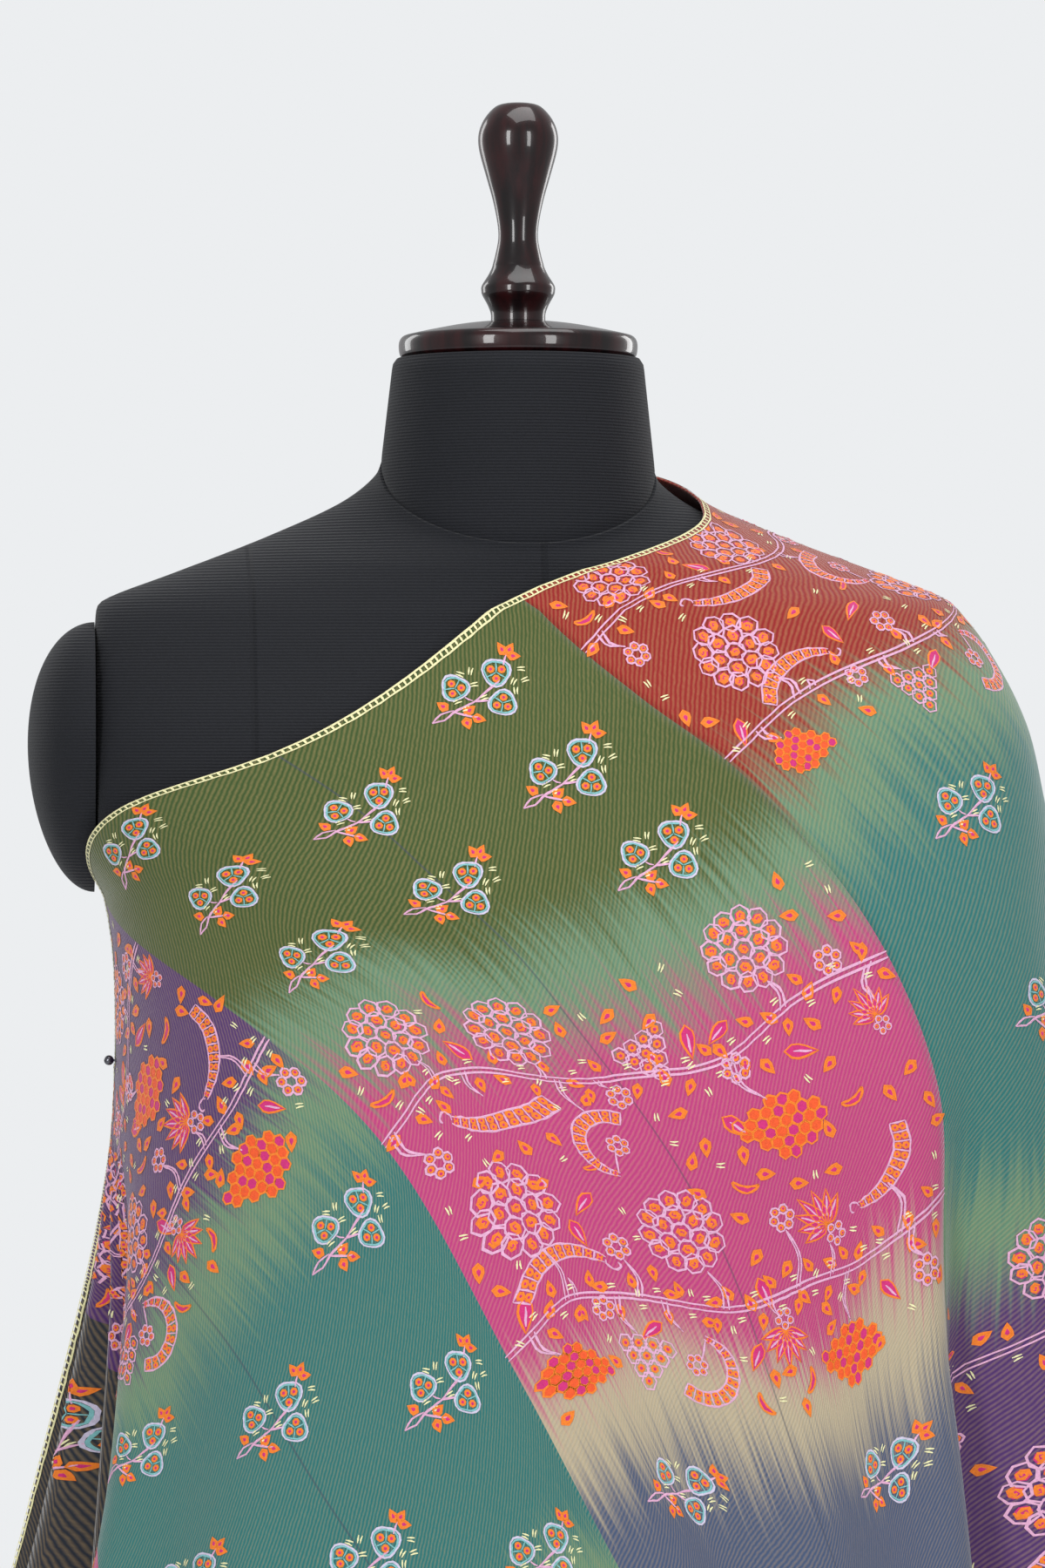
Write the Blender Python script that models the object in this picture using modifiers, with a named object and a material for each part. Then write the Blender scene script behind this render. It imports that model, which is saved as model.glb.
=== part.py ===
"""A pashmina shawl worn over one shoulder of a limbless dress form on a stand.

Metres, +Z up. +X is the form's left arm, -Y its front, and the origin is on the floor under the pole.
A point of the form or the cloth is placed by its turn about the pole (0 at the front, 90 degrees at the
form's left arm, 180 at the back) and the height of the level section that it lies on.
"""

from math import cos, pi, radians, sin

import bmesh
import bpy
import numpy as np

# Driving dimensions
CLOTH_THICK = 0.0015
CLOTH_CLEAR = 0.0055
SEAM_GAP = 0.0004
PIECE_GAP = 0.0003
NECKLINE = 1.388
NECK_TOP = 1.4400
NECK_TOP_RADIUS = 0.0560
TORSO_FOOT = 0.700
ARM_PLATE = 0.189
ARM_CAP = (0.0310, 0.0480, 0.0600)
ARM_CAP_HEIGHT = 1.262
WORN_CAP = (0.0270, 0.0440, 0.0560)
WORN_CAP_HEIGHT = 1.256
ARM_CAP_TAPER = 0.16
CAP_RADIUS = 0.0534
BOARD_THICK = 0.012
POLE_RADIUS = 0.0125
BASE_RADIUS = 0.190
BASE_THICK = 0.020
PIN_HEAD_RADIUS = 0.0022

RING_POINTS = 48
TURNED_STEPS = 28
CLOTH_ROWS = 22
ROW_SPREAD = 1.25
COLUMN_STEP = 0.0150

# height: half width, front depth, back depth and squareness of each level section of the torso
FORM_SECTIONS = {
    0.700: (0.1600, 0.104, 0.112, 2.3),
    0.800: (0.1760, 0.114, 0.124, 2.3),
    0.900: (0.1540, 0.106, 0.108, 2.3),
    0.985: (0.1290, 0.094, 0.090, 2.2),
    1.060: (0.1470, 0.112, 0.093, 2.2),
    1.120: (0.1680, 0.127, 0.098, 2.3),
    1.170: (0.1730, 0.120, 0.101, 2.4),
    1.200: (0.1790, 0.112, 0.102, 2.4),
    1.215: (0.1890, 0.107, 0.102, 2.4),
    1.230: (0.1970, 0.102, 0.101, 2.4),
    1.270: (0.2030, 0.088, 0.097, 2.4),
    1.303: (0.2020, 0.073, 0.087, 2.3),
    1.322: (0.1960, 0.066, 0.079, 2.1),
    1.333: (0.1830, 0.063, 0.073, 2.0),
    1.342: (0.1590, 0.061, 0.068, 2.0),
    1.357: (0.1170, 0.059, 0.062, 2.0),
    1.371: (0.0800, 0.058, 0.058, 2.0),
    1.380: (0.0665, 0.057, 0.057, 2.0),
    1.390: (0.0610, 0.057, 0.057, 2.0),
}
# height: how far the cloth stands out at the form's right side, left side, front and back
DRAPE_SECTIONS = {
    0.350: (0.252, 0.3180, 0.190, 0.180),
    0.500: (0.238, 0.3060, 0.180, 0.166),
    0.700: (0.214, 0.2900, 0.166, 0.148),
    0.900: (0.192, 0.2720, 0.150, 0.130),
    1.000: (0.182, 0.2620, 0.142, 0.119),
    1.060: (0.177, 0.2550, 0.136, 0.112),
    1.120: (0.174, 0.2480, 0.132, 0.106),
    1.200: (0.179, 0.2350, 0.116, 0.106),
    1.245: (0.196, 0.2275, 0.098, 0.104),
    1.277: (0.200, 0.2205, 0.086, 0.098),
    1.303: (0.200, 0.2090, 0.074, 0.089),
    1.322: (0.195, 0.1970, 0.066, 0.080),
    1.333: (0.183, 0.1860, 0.063, 0.073),
    1.342: (0.159, 0.1630, 0.061, 0.068),
    1.357: (0.117, 0.1200, 0.059, 0.062),
    1.371: (0.080, 0.0820, 0.058, 0.058),
    1.380: (0.066, 0.0700, 0.057, 0.057),
    1.390: (0.061, 0.0650, 0.057, 0.057),
}
# height: squareness of the cloth's level section on the form's right and on its left
DRAPE_SQUARENESS = {1.00: (2.15, 2.3), 1.20: (2.35, 3.0), 1.30: (2.15, 2.9), 1.34: (2.00, 2.0)}
# height: how steeply the section leans forward, as it turns into the neckline
LEAN = {1.325: 0.00, 1.342: 0.10, 1.357: 0.22, 1.371: 0.38, 1.390: 0.60}

# Lines down the cloth from its top edge, from the top of the left shoulder round the front to the right
# side: place along the sheet, length as draped, then the turn and height at the start and on the way.
# Below the last of these points the line hangs straight. The lines of the back mirror them.
LINES = {
    "ridge": (0.000, 1.00, (90, 1.374), (90, 1.350), (90, 1.300), (90, 1.200), (90, 1.100)),
    "neck": (0.065, 1.00, (37, 1.369), (60, 1.335), (68, 1.270), (72, 1.200), (73, 1.100)),
    "second": (0.122, 1.00, (-5, 1.336), (28, 1.287), (46, 1.236), (55, 1.120), (55, 1.000)),
    "chest": (0.247, 0.97, (-54, 1.262), (-27, 1.217), (0, 1.160), (27, 1.055), (43, 0.880)),
    "underarm": (0.310, 0.95, (-73, 1.236), (-43, 1.190), (-14, 1.130), (12, 1.027), (31, 0.880)),
    "third": (0.372, 0.92, (-86, 1.198), (-55, 1.156), (-28, 1.098), (-5, 0.998), (18, 0.880)),
    "fold": (0.452, 0.78, (-86, 1.126), (-79, 1.098), (-73, 1.055), (-69, 0.990), (-70, 0.850)),
    "fall": (0.500, 0.68, (-88, 1.124), (-84, 1.090), (-80, 1.050), (-79, 0.990), (-79, 0.850)),
    "edge": (0.540, 0.58, (-89.4, 1.124), (-89, 1.090), (-88, 1.050), (-88, 0.990), (-88, 0.850)),
}
# Hanging folds: turn at the top and at the hem, height where it starts, reach over which it grows,
# half width in degrees, and depth, out from the body or, below zero, in towards it.
FOLDS = [
    (-87, -86, 1.120, 0.28, 4.5, 0.034),
    (-77, -77, 1.100, 0.25, 4.5, -0.022),
    (-70, -69, 1.115, 0.28, 5.0, 0.013),
    (-58, -57, 1.050, 0.35, 5.0, -0.009),
    (-44, -47, 1.020, 0.40, 6.0, 0.014),
    (-30, -34, 1.000, 0.45, 6.5, -0.012),
    (-14, -20, 1.030, 0.50, 7.0, 0.013),
    (4, -3, 0.960, 0.45, 6.5, -0.014),
    (20, 12, 0.950, 0.45, 6.0, 0.016),
    (30, 25, 0.960, 0.40, 4.0, -0.013),
    (38, 36, 1.000, 0.40, 4.0, 0.012),
    (45, 45, 1.020, 0.35, 3.0, -0.011),
    (52, 53, 1.180, 0.30, 3.5, 0.014),
    (59, 61, 1.200, 0.30, 3.2, -0.019),
    (67, 69, 1.230, 0.35, 4.0, 0.013),
    (75, 77, 1.240, 0.35, 3.5, -0.015),
    (84, 86, 1.230, 0.40, 4.5, 0.016),
    (94, 95, 1.200, 0.40, 4.0, -0.016),
    (104, 104, 1.220, 0.35, 4.5, 0.015),
    (113, 114, 1.190, 0.40, 4.0, -0.018),
    (123, 124, 1.150, 0.35, 4.5, 0.016),
    (132, 134, 1.080, 0.40, 4.0, -0.014),
    (143, 146, 1.060, 0.45, 6.0, 0.015),
    (156, 160, 1.000, 0.40, 5.5, -0.014),
    (168, 174, 1.020, 0.45, 6.0, 0.014),
    (182, 189, 0.980, 0.45, 6.5, -0.015),
    (197, 204, 1.040, 0.50, 6.5, 0.015),
    (214, 219, 1.000, 0.40, 6.0, -0.012),
    (228, 232, 1.030, 0.40, 6.0, 0.013),
    (240, 242, 1.060, 0.35, 4.5, -0.010),
    (250, 250, 1.110, 0.30, 5.0, 0.014),
    (257.5, 258, 1.100, 0.28, 4.0, -0.020),
    (267, 266, 1.120, 0.30, 4.5, 0.032),
]
FOLD_FOOT = 0.40

# Profile of the turned knob: height above the neck cap's dome, radius
KNOB = [
    (0.0000, 0.0122),
    (0.0035, 0.0123),
    (0.0075, 0.0138),
    (0.0115, 0.0160),
    (0.0135, 0.0165),
    (0.0160, 0.0163),
    (0.0205, 0.0135),
    (0.0240, 0.0118),
    (0.0258, 0.0113),
    (0.0300, 0.0102),
    (0.0370, 0.0089),
    (0.0440, 0.0093),
    (0.0540, 0.0113),
    (0.0640, 0.0141),
    (0.0740, 0.0169),
    (0.0800, 0.0179),
    (0.0850, 0.0175),
    (0.0900, 0.0155),
    (0.0945, 0.0120),
    (0.0970, 0.0080),
    (0.0980, 0.0000),
]
# Profile of the neck cap: height above the neck's top, radius
NECK_CAP = [
    (0.0000, 0.0515),
    (0.0012, 0.0528),
    (0.0035, CAP_RADIUS),
    (0.0070, CAP_RADIUS),
    (0.0095, 0.0520),
    (0.0105, 0.0490),
    (0.0125, 0.0400),
    (0.0150, 0.0270),
    (0.0165, 0.0130),
    (0.0165, 0.0000),
]
# Profile of the stand's base: height above the floor, radius
BASE = [
    (0.0000, BASE_RADIUS - 0.004),
    (0.0040, BASE_RADIUS),
    (0.0100, BASE_RADIUS),
    (0.0150, BASE_RADIUS - 0.006),
    (BASE_THICK, BASE_RADIUS - 0.040),
    (0.0240, 0.060),
    (0.0300, 0.036),
    (0.0420, 0.026),
    (0.0600, 0.0235),
    (0.0640, 0.0200),
    (0.0640, 0.0000),
]


def eased(x, xs, ys):
    """A smooth curve through (xs, ys), read at x, and straight beyond its ends."""
    xs, ys, x = np.asarray(xs, float), np.asarray(ys, float), np.asarray(x, float)
    tail = (1,) * (ys.ndim - 1)
    step = np.diff(xs)
    wide = step.reshape(-1, *tail)
    slope = np.diff(ys, axis=0) / wide
    inner = (slope[1:] * wide[:-1] + slope[:-1] * wide[1:]) / (wide[1:] + wide[:-1])
    tangent = np.concatenate([slope[:1], inner, slope[-1:]])
    i = np.clip(np.searchsorted(xs, x) - 1, 0, len(step) - 1)
    along = (x - xs[i]) / step[i]
    inside = np.clip(along, 0, 1)
    beyond = ((along - inside) * step[i]).reshape(x.shape + tail)
    u, h = inside.reshape(x.shape + tail), step[i].reshape(x.shape + tail)
    value = (
        ys[i] * (1 + 2 * u) * (1 - u) ** 2
        + tangent[i] * h * u * (1 - u) ** 2
        + ys[i + 1] * u**2 * (3 - 2 * u)
        - tangent[i + 1] * h * u**2 * (1 - u)
    )
    return value + np.where(beyond > 0, tangent[i + 1], tangent[i]) * beyond


def from_table(table, height):
    heights = sorted(table)
    return np.moveaxis(eased(height, heights, [table[h] for h in heights]), -1, 0)


def polar(turn, right, left, front, back, square):
    """Radius at this turn of a rounded section with these four reaches."""
    side = np.where(np.sin(turn) > 0, left, right)
    depth = np.where(np.cos(turn) > 0, front, back)
    total = np.abs(np.sin(turn) / side) ** square + np.abs(np.cos(turn) / depth) ** square
    return total ** (-1 / square)


def place(turn, height, radius):
    """The point at this turn and radius on the section at this height, which leans near the neck."""
    x, y = radius * np.sin(turn), -radius * np.cos(turn)
    lean = np.interp(height, list(LEAN), list(LEAN.values()))
    return np.stack([x, y, height + lean * y], -1)


def form_radius(turn, height):
    wide, front, back, square = from_table(FORM_SECTIONS, height)
    return polar(turn, wide, wide, front, back, square)


def drape_radius(turn, height):
    """Radius of the cloth before its folds: its own section, and never inside the form."""
    right, left, front, back = from_table(DRAPE_SECTIONS, height)
    within = np.clip(height, min(DRAPE_SQUARENESS), max(DRAPE_SQUARENESS))
    square = np.where(np.sin(turn) > 0, *from_table(DRAPE_SQUARENESS, within)[::-1])
    cloth = polar(turn, right, left, front, back, square)
    return np.maximum(cloth, form_radius(turn, np.maximum(height, TORSO_FOOT))) + CLOTH_CLEAR


def fold_depth(turn, height):
    total = np.zeros_like(height)
    for top_turn, foot_turn, top, reach, width, depth in FOLDS:
        down = np.clip((top - height) / (top - FOLD_FOOT), 0, 1.1)
        centre = np.radians(top_turn + (foot_turn - top_turn) * down)
        grown = np.clip((top - height) / reach, 0, 1)
        bump = np.exp(-(((turn - centre) / radians(width)) ** 2))
        total += depth * grown**2 * (3 - 2 * grown) * bump
    return total


def cloth_point(turn, height):
    bare = form_radius(turn, np.maximum(height, TORSO_FOOT)) + CLOTH_CLEAR
    return place(turn, height, np.maximum(drape_radius(turn, height) + fold_depth(turn, height), bare))


def traced(line, rows):
    """Turn and height at these fractions of one line's draped length."""
    _, length, *points = line
    knots = np.array(points, float)
    knots[:, 0] = np.radians(knots[:, 0])
    lead = eased(np.linspace(0, len(knots) - 1, 400), np.arange(len(knots)), knots)
    drop = knots[-1] - np.linspace(0, 1, 300)[1:, None] * [0, 0.9]
    path = np.vstack([lead, drop])
    spots = place(path[:, 0], path[:, 1], drape_radius(path[:, 0], path[:, 1]))
    run = np.concatenate([[0], np.cumsum(np.linalg.norm(np.diff(spots, axis=0), axis=1))])
    want = rows * length
    return np.stack([np.interp(want, run, path[:, 0]), np.interp(want, run, path[:, 1])], -1)


def cloth_grid(across, rows):
    """Turn and height of the cloth at these places across it, where the back counts below zero."""
    places = [line[0] for line in LINES.values()]
    lines = np.array([traced(line, rows) for line in LINES.values()])
    grid = eased(np.abs(across), places, lines)
    grid[across < 0, :, 0] = pi - grid[across < 0, :, 0]
    return grid


def material(name, colour, roughness, metallic=0.0):
    made = bpy.data.materials.new(name)
    made.use_nodes = True
    shader = made.node_tree.nodes["Principled BSDF"]
    shader.inputs["Base Color"].default_value = (*colour, 1)
    shader.inputs["Roughness"].default_value = roughness
    shader.inputs["Metallic"].default_value = metallic
    made.diffuse_color = (*colour, 1)
    return made


def add_object(name, mesh, finish):
    made = bpy.data.objects.new(name, mesh)
    made.data.materials.append(finish)
    parts.objects.link(made)
    return made


def mesh_from(name, bm):
    bmesh.ops.recalc_face_normals(bm, faces=bm.faces)
    mesh = bpy.data.meshes.new(name)
    bm.to_mesh(mesh)
    bm.free()
    mesh.shade_smooth()
    mesh.set_sharp_from_angle(angle=radians(40))
    return mesh


def skin(bm, rings, closed):
    """Vertices and quads through these rings, each an array of points."""
    lines = [[bm.verts.new(p) for p in ring] for ring in rings]
    count = len(lines[0])
    for upper, lower in zip(lines, lines[1:]):
        for i in range(count if closed else count - 1):
            j = (i + 1) % count
            bm.faces.new((upper[i], upper[j], lower[j], lower[i]))
    return lines


def loft(name, rings, finish):
    """A closed solid through these rings, with a flat cap on the first and the last."""
    bm = bmesh.new()
    lines = skin(bm, rings, closed=True)
    bm.faces.new(lines[0])
    bm.faces.new(lines[-1])
    return add_object(name, mesh_from(name, bm), finish)


def turned(name, profile, height, finish):
    """A solid of revolution about the pole, from a profile of heights and radii."""
    bm = bmesh.new()
    points = [bm.verts.new((r, 0, height + z)) for z, r in reversed(profile)]
    points.append(bm.verts.new((0, 0, height + profile[0][0])))
    for a, b in zip(points, points[1:]):
        bm.edges.new((a, b))
    mesh = bpy.data.meshes.new(name)
    bm.to_mesh(mesh)
    bm.free()
    made = add_object(name, mesh, finish)
    screw = made.modifiers.new("Screw", "SCREW")
    screw.steps = screw.render_steps = TURNED_STEPS
    screw.use_merge_vertices = True
    screw.merge_threshold = 0.0001
    screw.use_smooth_shade = True
    return made


def cylinder(name, radius, low, high, finish):
    bm = bmesh.new()
    bmesh.ops.create_cone(
        bm, cap_ends=True, segments=TURNED_STEPS, radius1=radius, radius2=radius, depth=high - low
    )
    bmesh.ops.translate(bm, verts=bm.verts, vec=(0, 0, (low + high) / 2))
    return add_object(name, mesh_from(name, bm), finish)


def turns():
    return np.linspace(-pi, pi, RING_POINTS, endpoint=False)


def build_torso():
    """The padded torso: level sections from the foot to the neckline, cut flat at both armholes."""
    rings = []
    for height in [h for h in FORM_SECTIONS if h < NECKLINE] + [NECKLINE]:
        level = np.full(RING_POINTS, height)
        rings.append(place(turns(), level, form_radius(turns(), level)))
    torso = loft("form_torso", rings, jersey)
    bm = bmesh.new()
    bm.from_mesh(torso.data)
    for side in (-1, 1):
        everything = bm.verts[:] + bm.edges[:] + bm.faces[:]
        cut = bmesh.ops.bisect_plane(
            bm, geom=everything, plane_co=(side * ARM_PLATE, 0, 0), plane_no=(side, 0, 0), clear_outer=True
        )
        edges = [e for e in cut["geom_cut"] if isinstance(e, bmesh.types.BMEdge)]
        bmesh.ops.edgeloop_fill(bm, edges=edges)
    bm.to_mesh(torso.data)
    bm.free()


def build_neck():
    """The neck piece, from the sloping neckline up to its level top."""
    rings = []
    for rise in np.linspace(0, 1, 6):
        level = np.full(RING_POINTS, NECKLINE + PIECE_GAP)
        low = place(turns(), level, form_radius(turns(), level))
        high = np.stack(
            [NECK_TOP_RADIUS * np.sin(turns()), -NECK_TOP_RADIUS * np.cos(turns()), level * 0 + NECK_TOP], -1
        )
        rings.append(low + (high - low) * rise)
    loft("form_neck", rings, jersey)


def build_arm_cap(name, side, reach, height):
    """A padded half egg on the flat of an armhole; the one under the cloth is pressed lower."""
    bm = bmesh.new()
    bmesh.ops.create_uvsphere(bm, u_segments=20, v_segments=14, radius=1)
    everything = bm.verts[:] + bm.edges[:] + bm.faces[:]
    cut = bmesh.ops.bisect_plane(
        bm, geom=everything, plane_co=(0, 0, 0), plane_no=(-side, 0, 0), clear_outer=True
    )
    edges = [e for e in cut["geom_cut"] if isinstance(e, bmesh.types.BMEdge)]
    bmesh.ops.edgeloop_fill(bm, edges=edges)
    for vert in bm.verts:
        fuller = 1 + ARM_CAP_TAPER * vert.co.z
        vert.co.x = side * (ARM_PLATE + PIECE_GAP) + vert.co.x * reach[0] * fuller
        vert.co.y = vert.co.y * reach[1] * fuller
        vert.co.z = vert.co.z * reach[2] + height
    add_object(name, mesh_from(name, bm), jersey)


def build_board():
    level = np.full(RING_POINTS, TORSO_FOOT)
    outline = place(turns(), level, form_radius(turns(), level) - 0.004)
    high = outline - [0, 0, PIECE_GAP]
    loft("form_board", [high, high - [0, 0, BOARD_THICK]], wood)


def columns(first, last):
    """Places across the sheet, evenly apart by what they measure at the top and at the hem."""
    fine = np.linspace(first, last, 400)
    ends = cloth_grid(fine, np.array([0.0, 1.0]))
    ends = place(ends[..., 0], ends[..., 1], drape_radius(ends[..., 0], ends[..., 1]))
    apart = np.linalg.norm(np.diff(ends, axis=0), axis=2).mean(axis=1)
    run = np.concatenate([[0], np.cumsum(apart)])
    count = max(4, round(run[-1] / COLUMN_STEP)) + 1
    return np.interp(np.linspace(0, run[-1], count), run, fine)


def build_cloth(name, first, last):
    """One stretch of the sheet between two places across it, as an open surface with a thickness."""
    across = columns(first + SEAM_GAP, last - SEAM_GAP)
    grid = cloth_grid(across, np.linspace(0, 1, CLOTH_ROWS) ** ROW_SPREAD)
    points = cloth_point(grid[..., 0], grid[..., 1])
    bm = bmesh.new()
    skin(bm, points[::-1], closed=False)
    mesh = bpy.data.meshes.new(name)
    bm.to_mesh(mesh)
    bm.free()
    mesh.shade_smooth()
    made = add_object(name, mesh, cashmere)
    thick = made.modifiers.new("Thickness", "SOLIDIFY")
    thick.thickness = CLOTH_THICK
    thick.offset = 1
    return made


def build_pin():
    """The ball head of the dressmaker's pin that holds the gathered edges to the form's side."""
    turn, height = radians(-84), 1.128
    spot = cloth_point(np.array(turn), np.array(height))
    out = np.array([sin(turn), -cos(turn), 0])
    bm = bmesh.new()
    bmesh.ops.create_uvsphere(bm, u_segments=12, v_segments=8, radius=PIN_HEAD_RADIUS)
    lift = CLOTH_THICK + PIN_HEAD_RADIUS + 0.0008
    bmesh.ops.translate(bm, verts=bm.verts, vec=spot + out * lift)
    add_object("shawl_pin", mesh_from("shawl_pin", bm), steel)


for old in list(bpy.data.objects):
    bpy.data.objects.remove(old, do_unlink=True)
parts = bpy.data.collections.new("shawl_on_dress_form")
bpy.context.scene.collection.children.link(parts)

cashmere = material("cashmere", (0.10, 0.16, 0.13), 0.9)
jersey = material("black_jersey", (0.012, 0.013, 0.016), 0.85)
wood = material("dark_wood", (0.045, 0.010, 0.008), 0.25)
iron = material("black_iron", (0.02, 0.02, 0.02), 0.5, 0.6)
steel = material("pin_steel", (0.25, 0.25, 0.27), 0.25, 1.0)

build_torso()
build_neck()
build_arm_cap("form_arm_cap_left", 1, WORN_CAP, WORN_CAP_HEIGHT)
build_arm_cap("form_arm_cap_right", -1, ARM_CAP, ARM_CAP_HEIGHT)
turned("neck_cap", NECK_CAP, NECK_TOP + PIECE_GAP, wood)
turned("knob", KNOB, NECK_TOP + NECK_CAP[-1][0] + 2 * PIECE_GAP, wood)
build_board()
board_foot = TORSO_FOOT - PIECE_GAP - BOARD_THICK
base_top = BASE[-1][0]
cylinder("stand_pole", POLE_RADIUS, base_top + PIECE_GAP, board_foot - PIECE_GAP, iron)
turned("stand_base", BASE, 0.0, iron)

second, fold, edge = (LINES[name][0] for name in ("second", "fold", "edge"))
build_cloth("shawl_front", second, fold)
build_cloth("shawl_shoulder", -second, second)
build_cloth("shawl_back", -fold, -second)
build_cloth("shawl_fall_front", fold, edge)
build_cloth("shawl_fall_back", -edge, -fold)
build_pin()
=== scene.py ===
"""Looks of a pashmina shawl worn over one shoulder of a limbless dress form on a stand.

Metres, +Z up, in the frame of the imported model. The cloth's flat pattern is told by two distances: along
the top edge from the top of the left shoulder, more than zero over the front and less over the back, and
down from that edge. A motif is drawn flat with complex numbers in millimetres, real part along its axis.
"""

from math import cos, pi, radians, sin

import bmesh
import bpy
import numpy as np
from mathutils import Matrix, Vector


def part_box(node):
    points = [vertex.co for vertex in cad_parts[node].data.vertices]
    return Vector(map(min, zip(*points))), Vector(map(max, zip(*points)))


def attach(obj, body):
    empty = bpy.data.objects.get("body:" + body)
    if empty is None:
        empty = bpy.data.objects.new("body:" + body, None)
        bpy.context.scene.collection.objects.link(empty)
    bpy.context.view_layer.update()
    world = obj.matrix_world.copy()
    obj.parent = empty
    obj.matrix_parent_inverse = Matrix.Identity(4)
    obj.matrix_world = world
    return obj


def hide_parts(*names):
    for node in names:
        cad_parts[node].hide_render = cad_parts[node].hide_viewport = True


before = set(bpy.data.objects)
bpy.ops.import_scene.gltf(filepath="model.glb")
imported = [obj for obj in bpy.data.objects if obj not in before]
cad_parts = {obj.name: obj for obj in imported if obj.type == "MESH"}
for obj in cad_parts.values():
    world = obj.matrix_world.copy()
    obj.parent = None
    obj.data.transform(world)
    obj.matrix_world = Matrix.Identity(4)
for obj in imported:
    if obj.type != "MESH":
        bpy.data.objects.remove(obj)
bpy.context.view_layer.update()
BODY = "root"

# Sizes that the frame gives
NECK_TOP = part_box("form_neck")[1][2]
NECK_TOP_RADIUS = 0.0560
(_, _, TORSO_FOOT), (ARM_PLATE, _, _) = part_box("form_torso")
BOARD_LOW, BOARD_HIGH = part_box("form_board")
POLE_LOW, POLE_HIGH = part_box("stand_pole")
BASE_LOW, BASE_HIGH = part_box("stand_base")
CAP_LOW, CAP_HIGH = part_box("neck_cap")
KNOB_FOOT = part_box("knob")[0][2]
PIN_LOW, PIN_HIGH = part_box("shawl_pin")

CAP_RADIUS = (CAP_HIGH[0] - CAP_LOW[0]) / 2
BASE_RADIUS = (BASE_HIGH[0] - BASE_LOW[0]) / 2
BASE_THICK = 0.020

# The form: its neckline, the gap between its pieces, and the easing of the armholes' rims
NECKLINE = 1.388
PIECE_GAP = 0.0003
RIM = 0.003
RIB_PITCH = 0.0014
SEAM_GROOVE = 0.0016
PIN_STUB = 0.0070
SHANK_RADIUS = 0.00045

# The cloth: how far in front of the shoulder and behind it the sheet reaches, then its mesh
CLOTH_THICK = 0.0010
CLOTH_CLEAR = 0.0055
SHAWL_WIDTH = 1.0
FRONT_END = 1.050
BACK_END = 0.950
STRIP_WIDTH = 0.250
TWILL_PITCH = 0.0017
COLUMN_STEP = 0.0050
CLOTH_ROWS = 190
ROW_SPREAD = 1.15
# Pleats of the two falls: where they start along the sheet and at what height, and their depth
PLEATS = 5
PLEAT_START = 0.462
PLEAT_TOP = 1.105
PLEAT_REACH = 0.20
PLEAT_DEPTH = 0.075
# Folds deepen from this height down to the hem, inward far more than outward
DEEPER_FROM = 0.92
DEEPER_REACH = 0.42
HEM_FOLDS = 1.7
OUTWARD, INWARD = 0.35, 2.4

# Stitches, in millimetres but for how far they rise over the cloth
THREAD_WIDTH = 1.15
FLAT_UNDER = 1.02
THREAD_RISE = 0.00032
FILL_RISE = 0.00022
HEART_RISE = 0.0003
CORE_RISE = 0.0005
FLOSS_LIFT, YARN_LIFT = 0.00005, 0.00010
# How little and how much of the drape's stretch a drawing put down whole makes up for
LEAST_STRETCH, MOST_STRETCH = 0.68, 4.5
EDGE_KEPT = 0.004

# Seams of the torso's jersey: axis, place and the height above which it runs
SEAMS = [("x", 0.0066, 1.20), ("x", -0.121, 1.18)]

# Studio
PAPER = (236, 238, 240)
AMBIENT = 0.50
FLOOR_RADIUS = 4.0
CAMERA_DISTANCE = 2.6
CAMERA_HEIGHT = 1.25
CAMERA_TURN = 5.0
CAMERA_SHIFT = 0.00195
FRAME_TALL = 0.702

# height: half width, front depth, back depth and squareness of each level section of the torso
FORM_SECTIONS = {
    0.700: (0.1600, 0.104, 0.112, 2.3),
    0.800: (0.1760, 0.114, 0.124, 2.3),
    0.900: (0.1540, 0.106, 0.108, 2.3),
    0.985: (0.1290, 0.094, 0.090, 2.2),
    1.060: (0.1470, 0.112, 0.093, 2.2),
    1.120: (0.1680, 0.127, 0.098, 2.3),
    1.170: (0.1730, 0.120, 0.101, 2.4),
    1.200: (0.1790, 0.112, 0.102, 2.4),
    1.215: (0.1890, 0.107, 0.102, 2.4),
    1.230: (0.1970, 0.102, 0.101, 2.4),
    1.270: (0.2030, 0.088, 0.097, 2.4),
    1.303: (0.2020, 0.073, 0.087, 2.3),
    1.322: (0.1960, 0.066, 0.079, 2.1),
    1.333: (0.1830, 0.063, 0.073, 2.0),
    1.342: (0.1590, 0.061, 0.068, 2.0),
    1.357: (0.1170, 0.059, 0.062, 2.0),
    1.371: (0.0800, 0.058, 0.058, 2.0),
    1.380: (0.0665, 0.057, 0.057, 2.0),
    1.390: (0.0610, 0.057, 0.057, 2.0),
}
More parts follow.
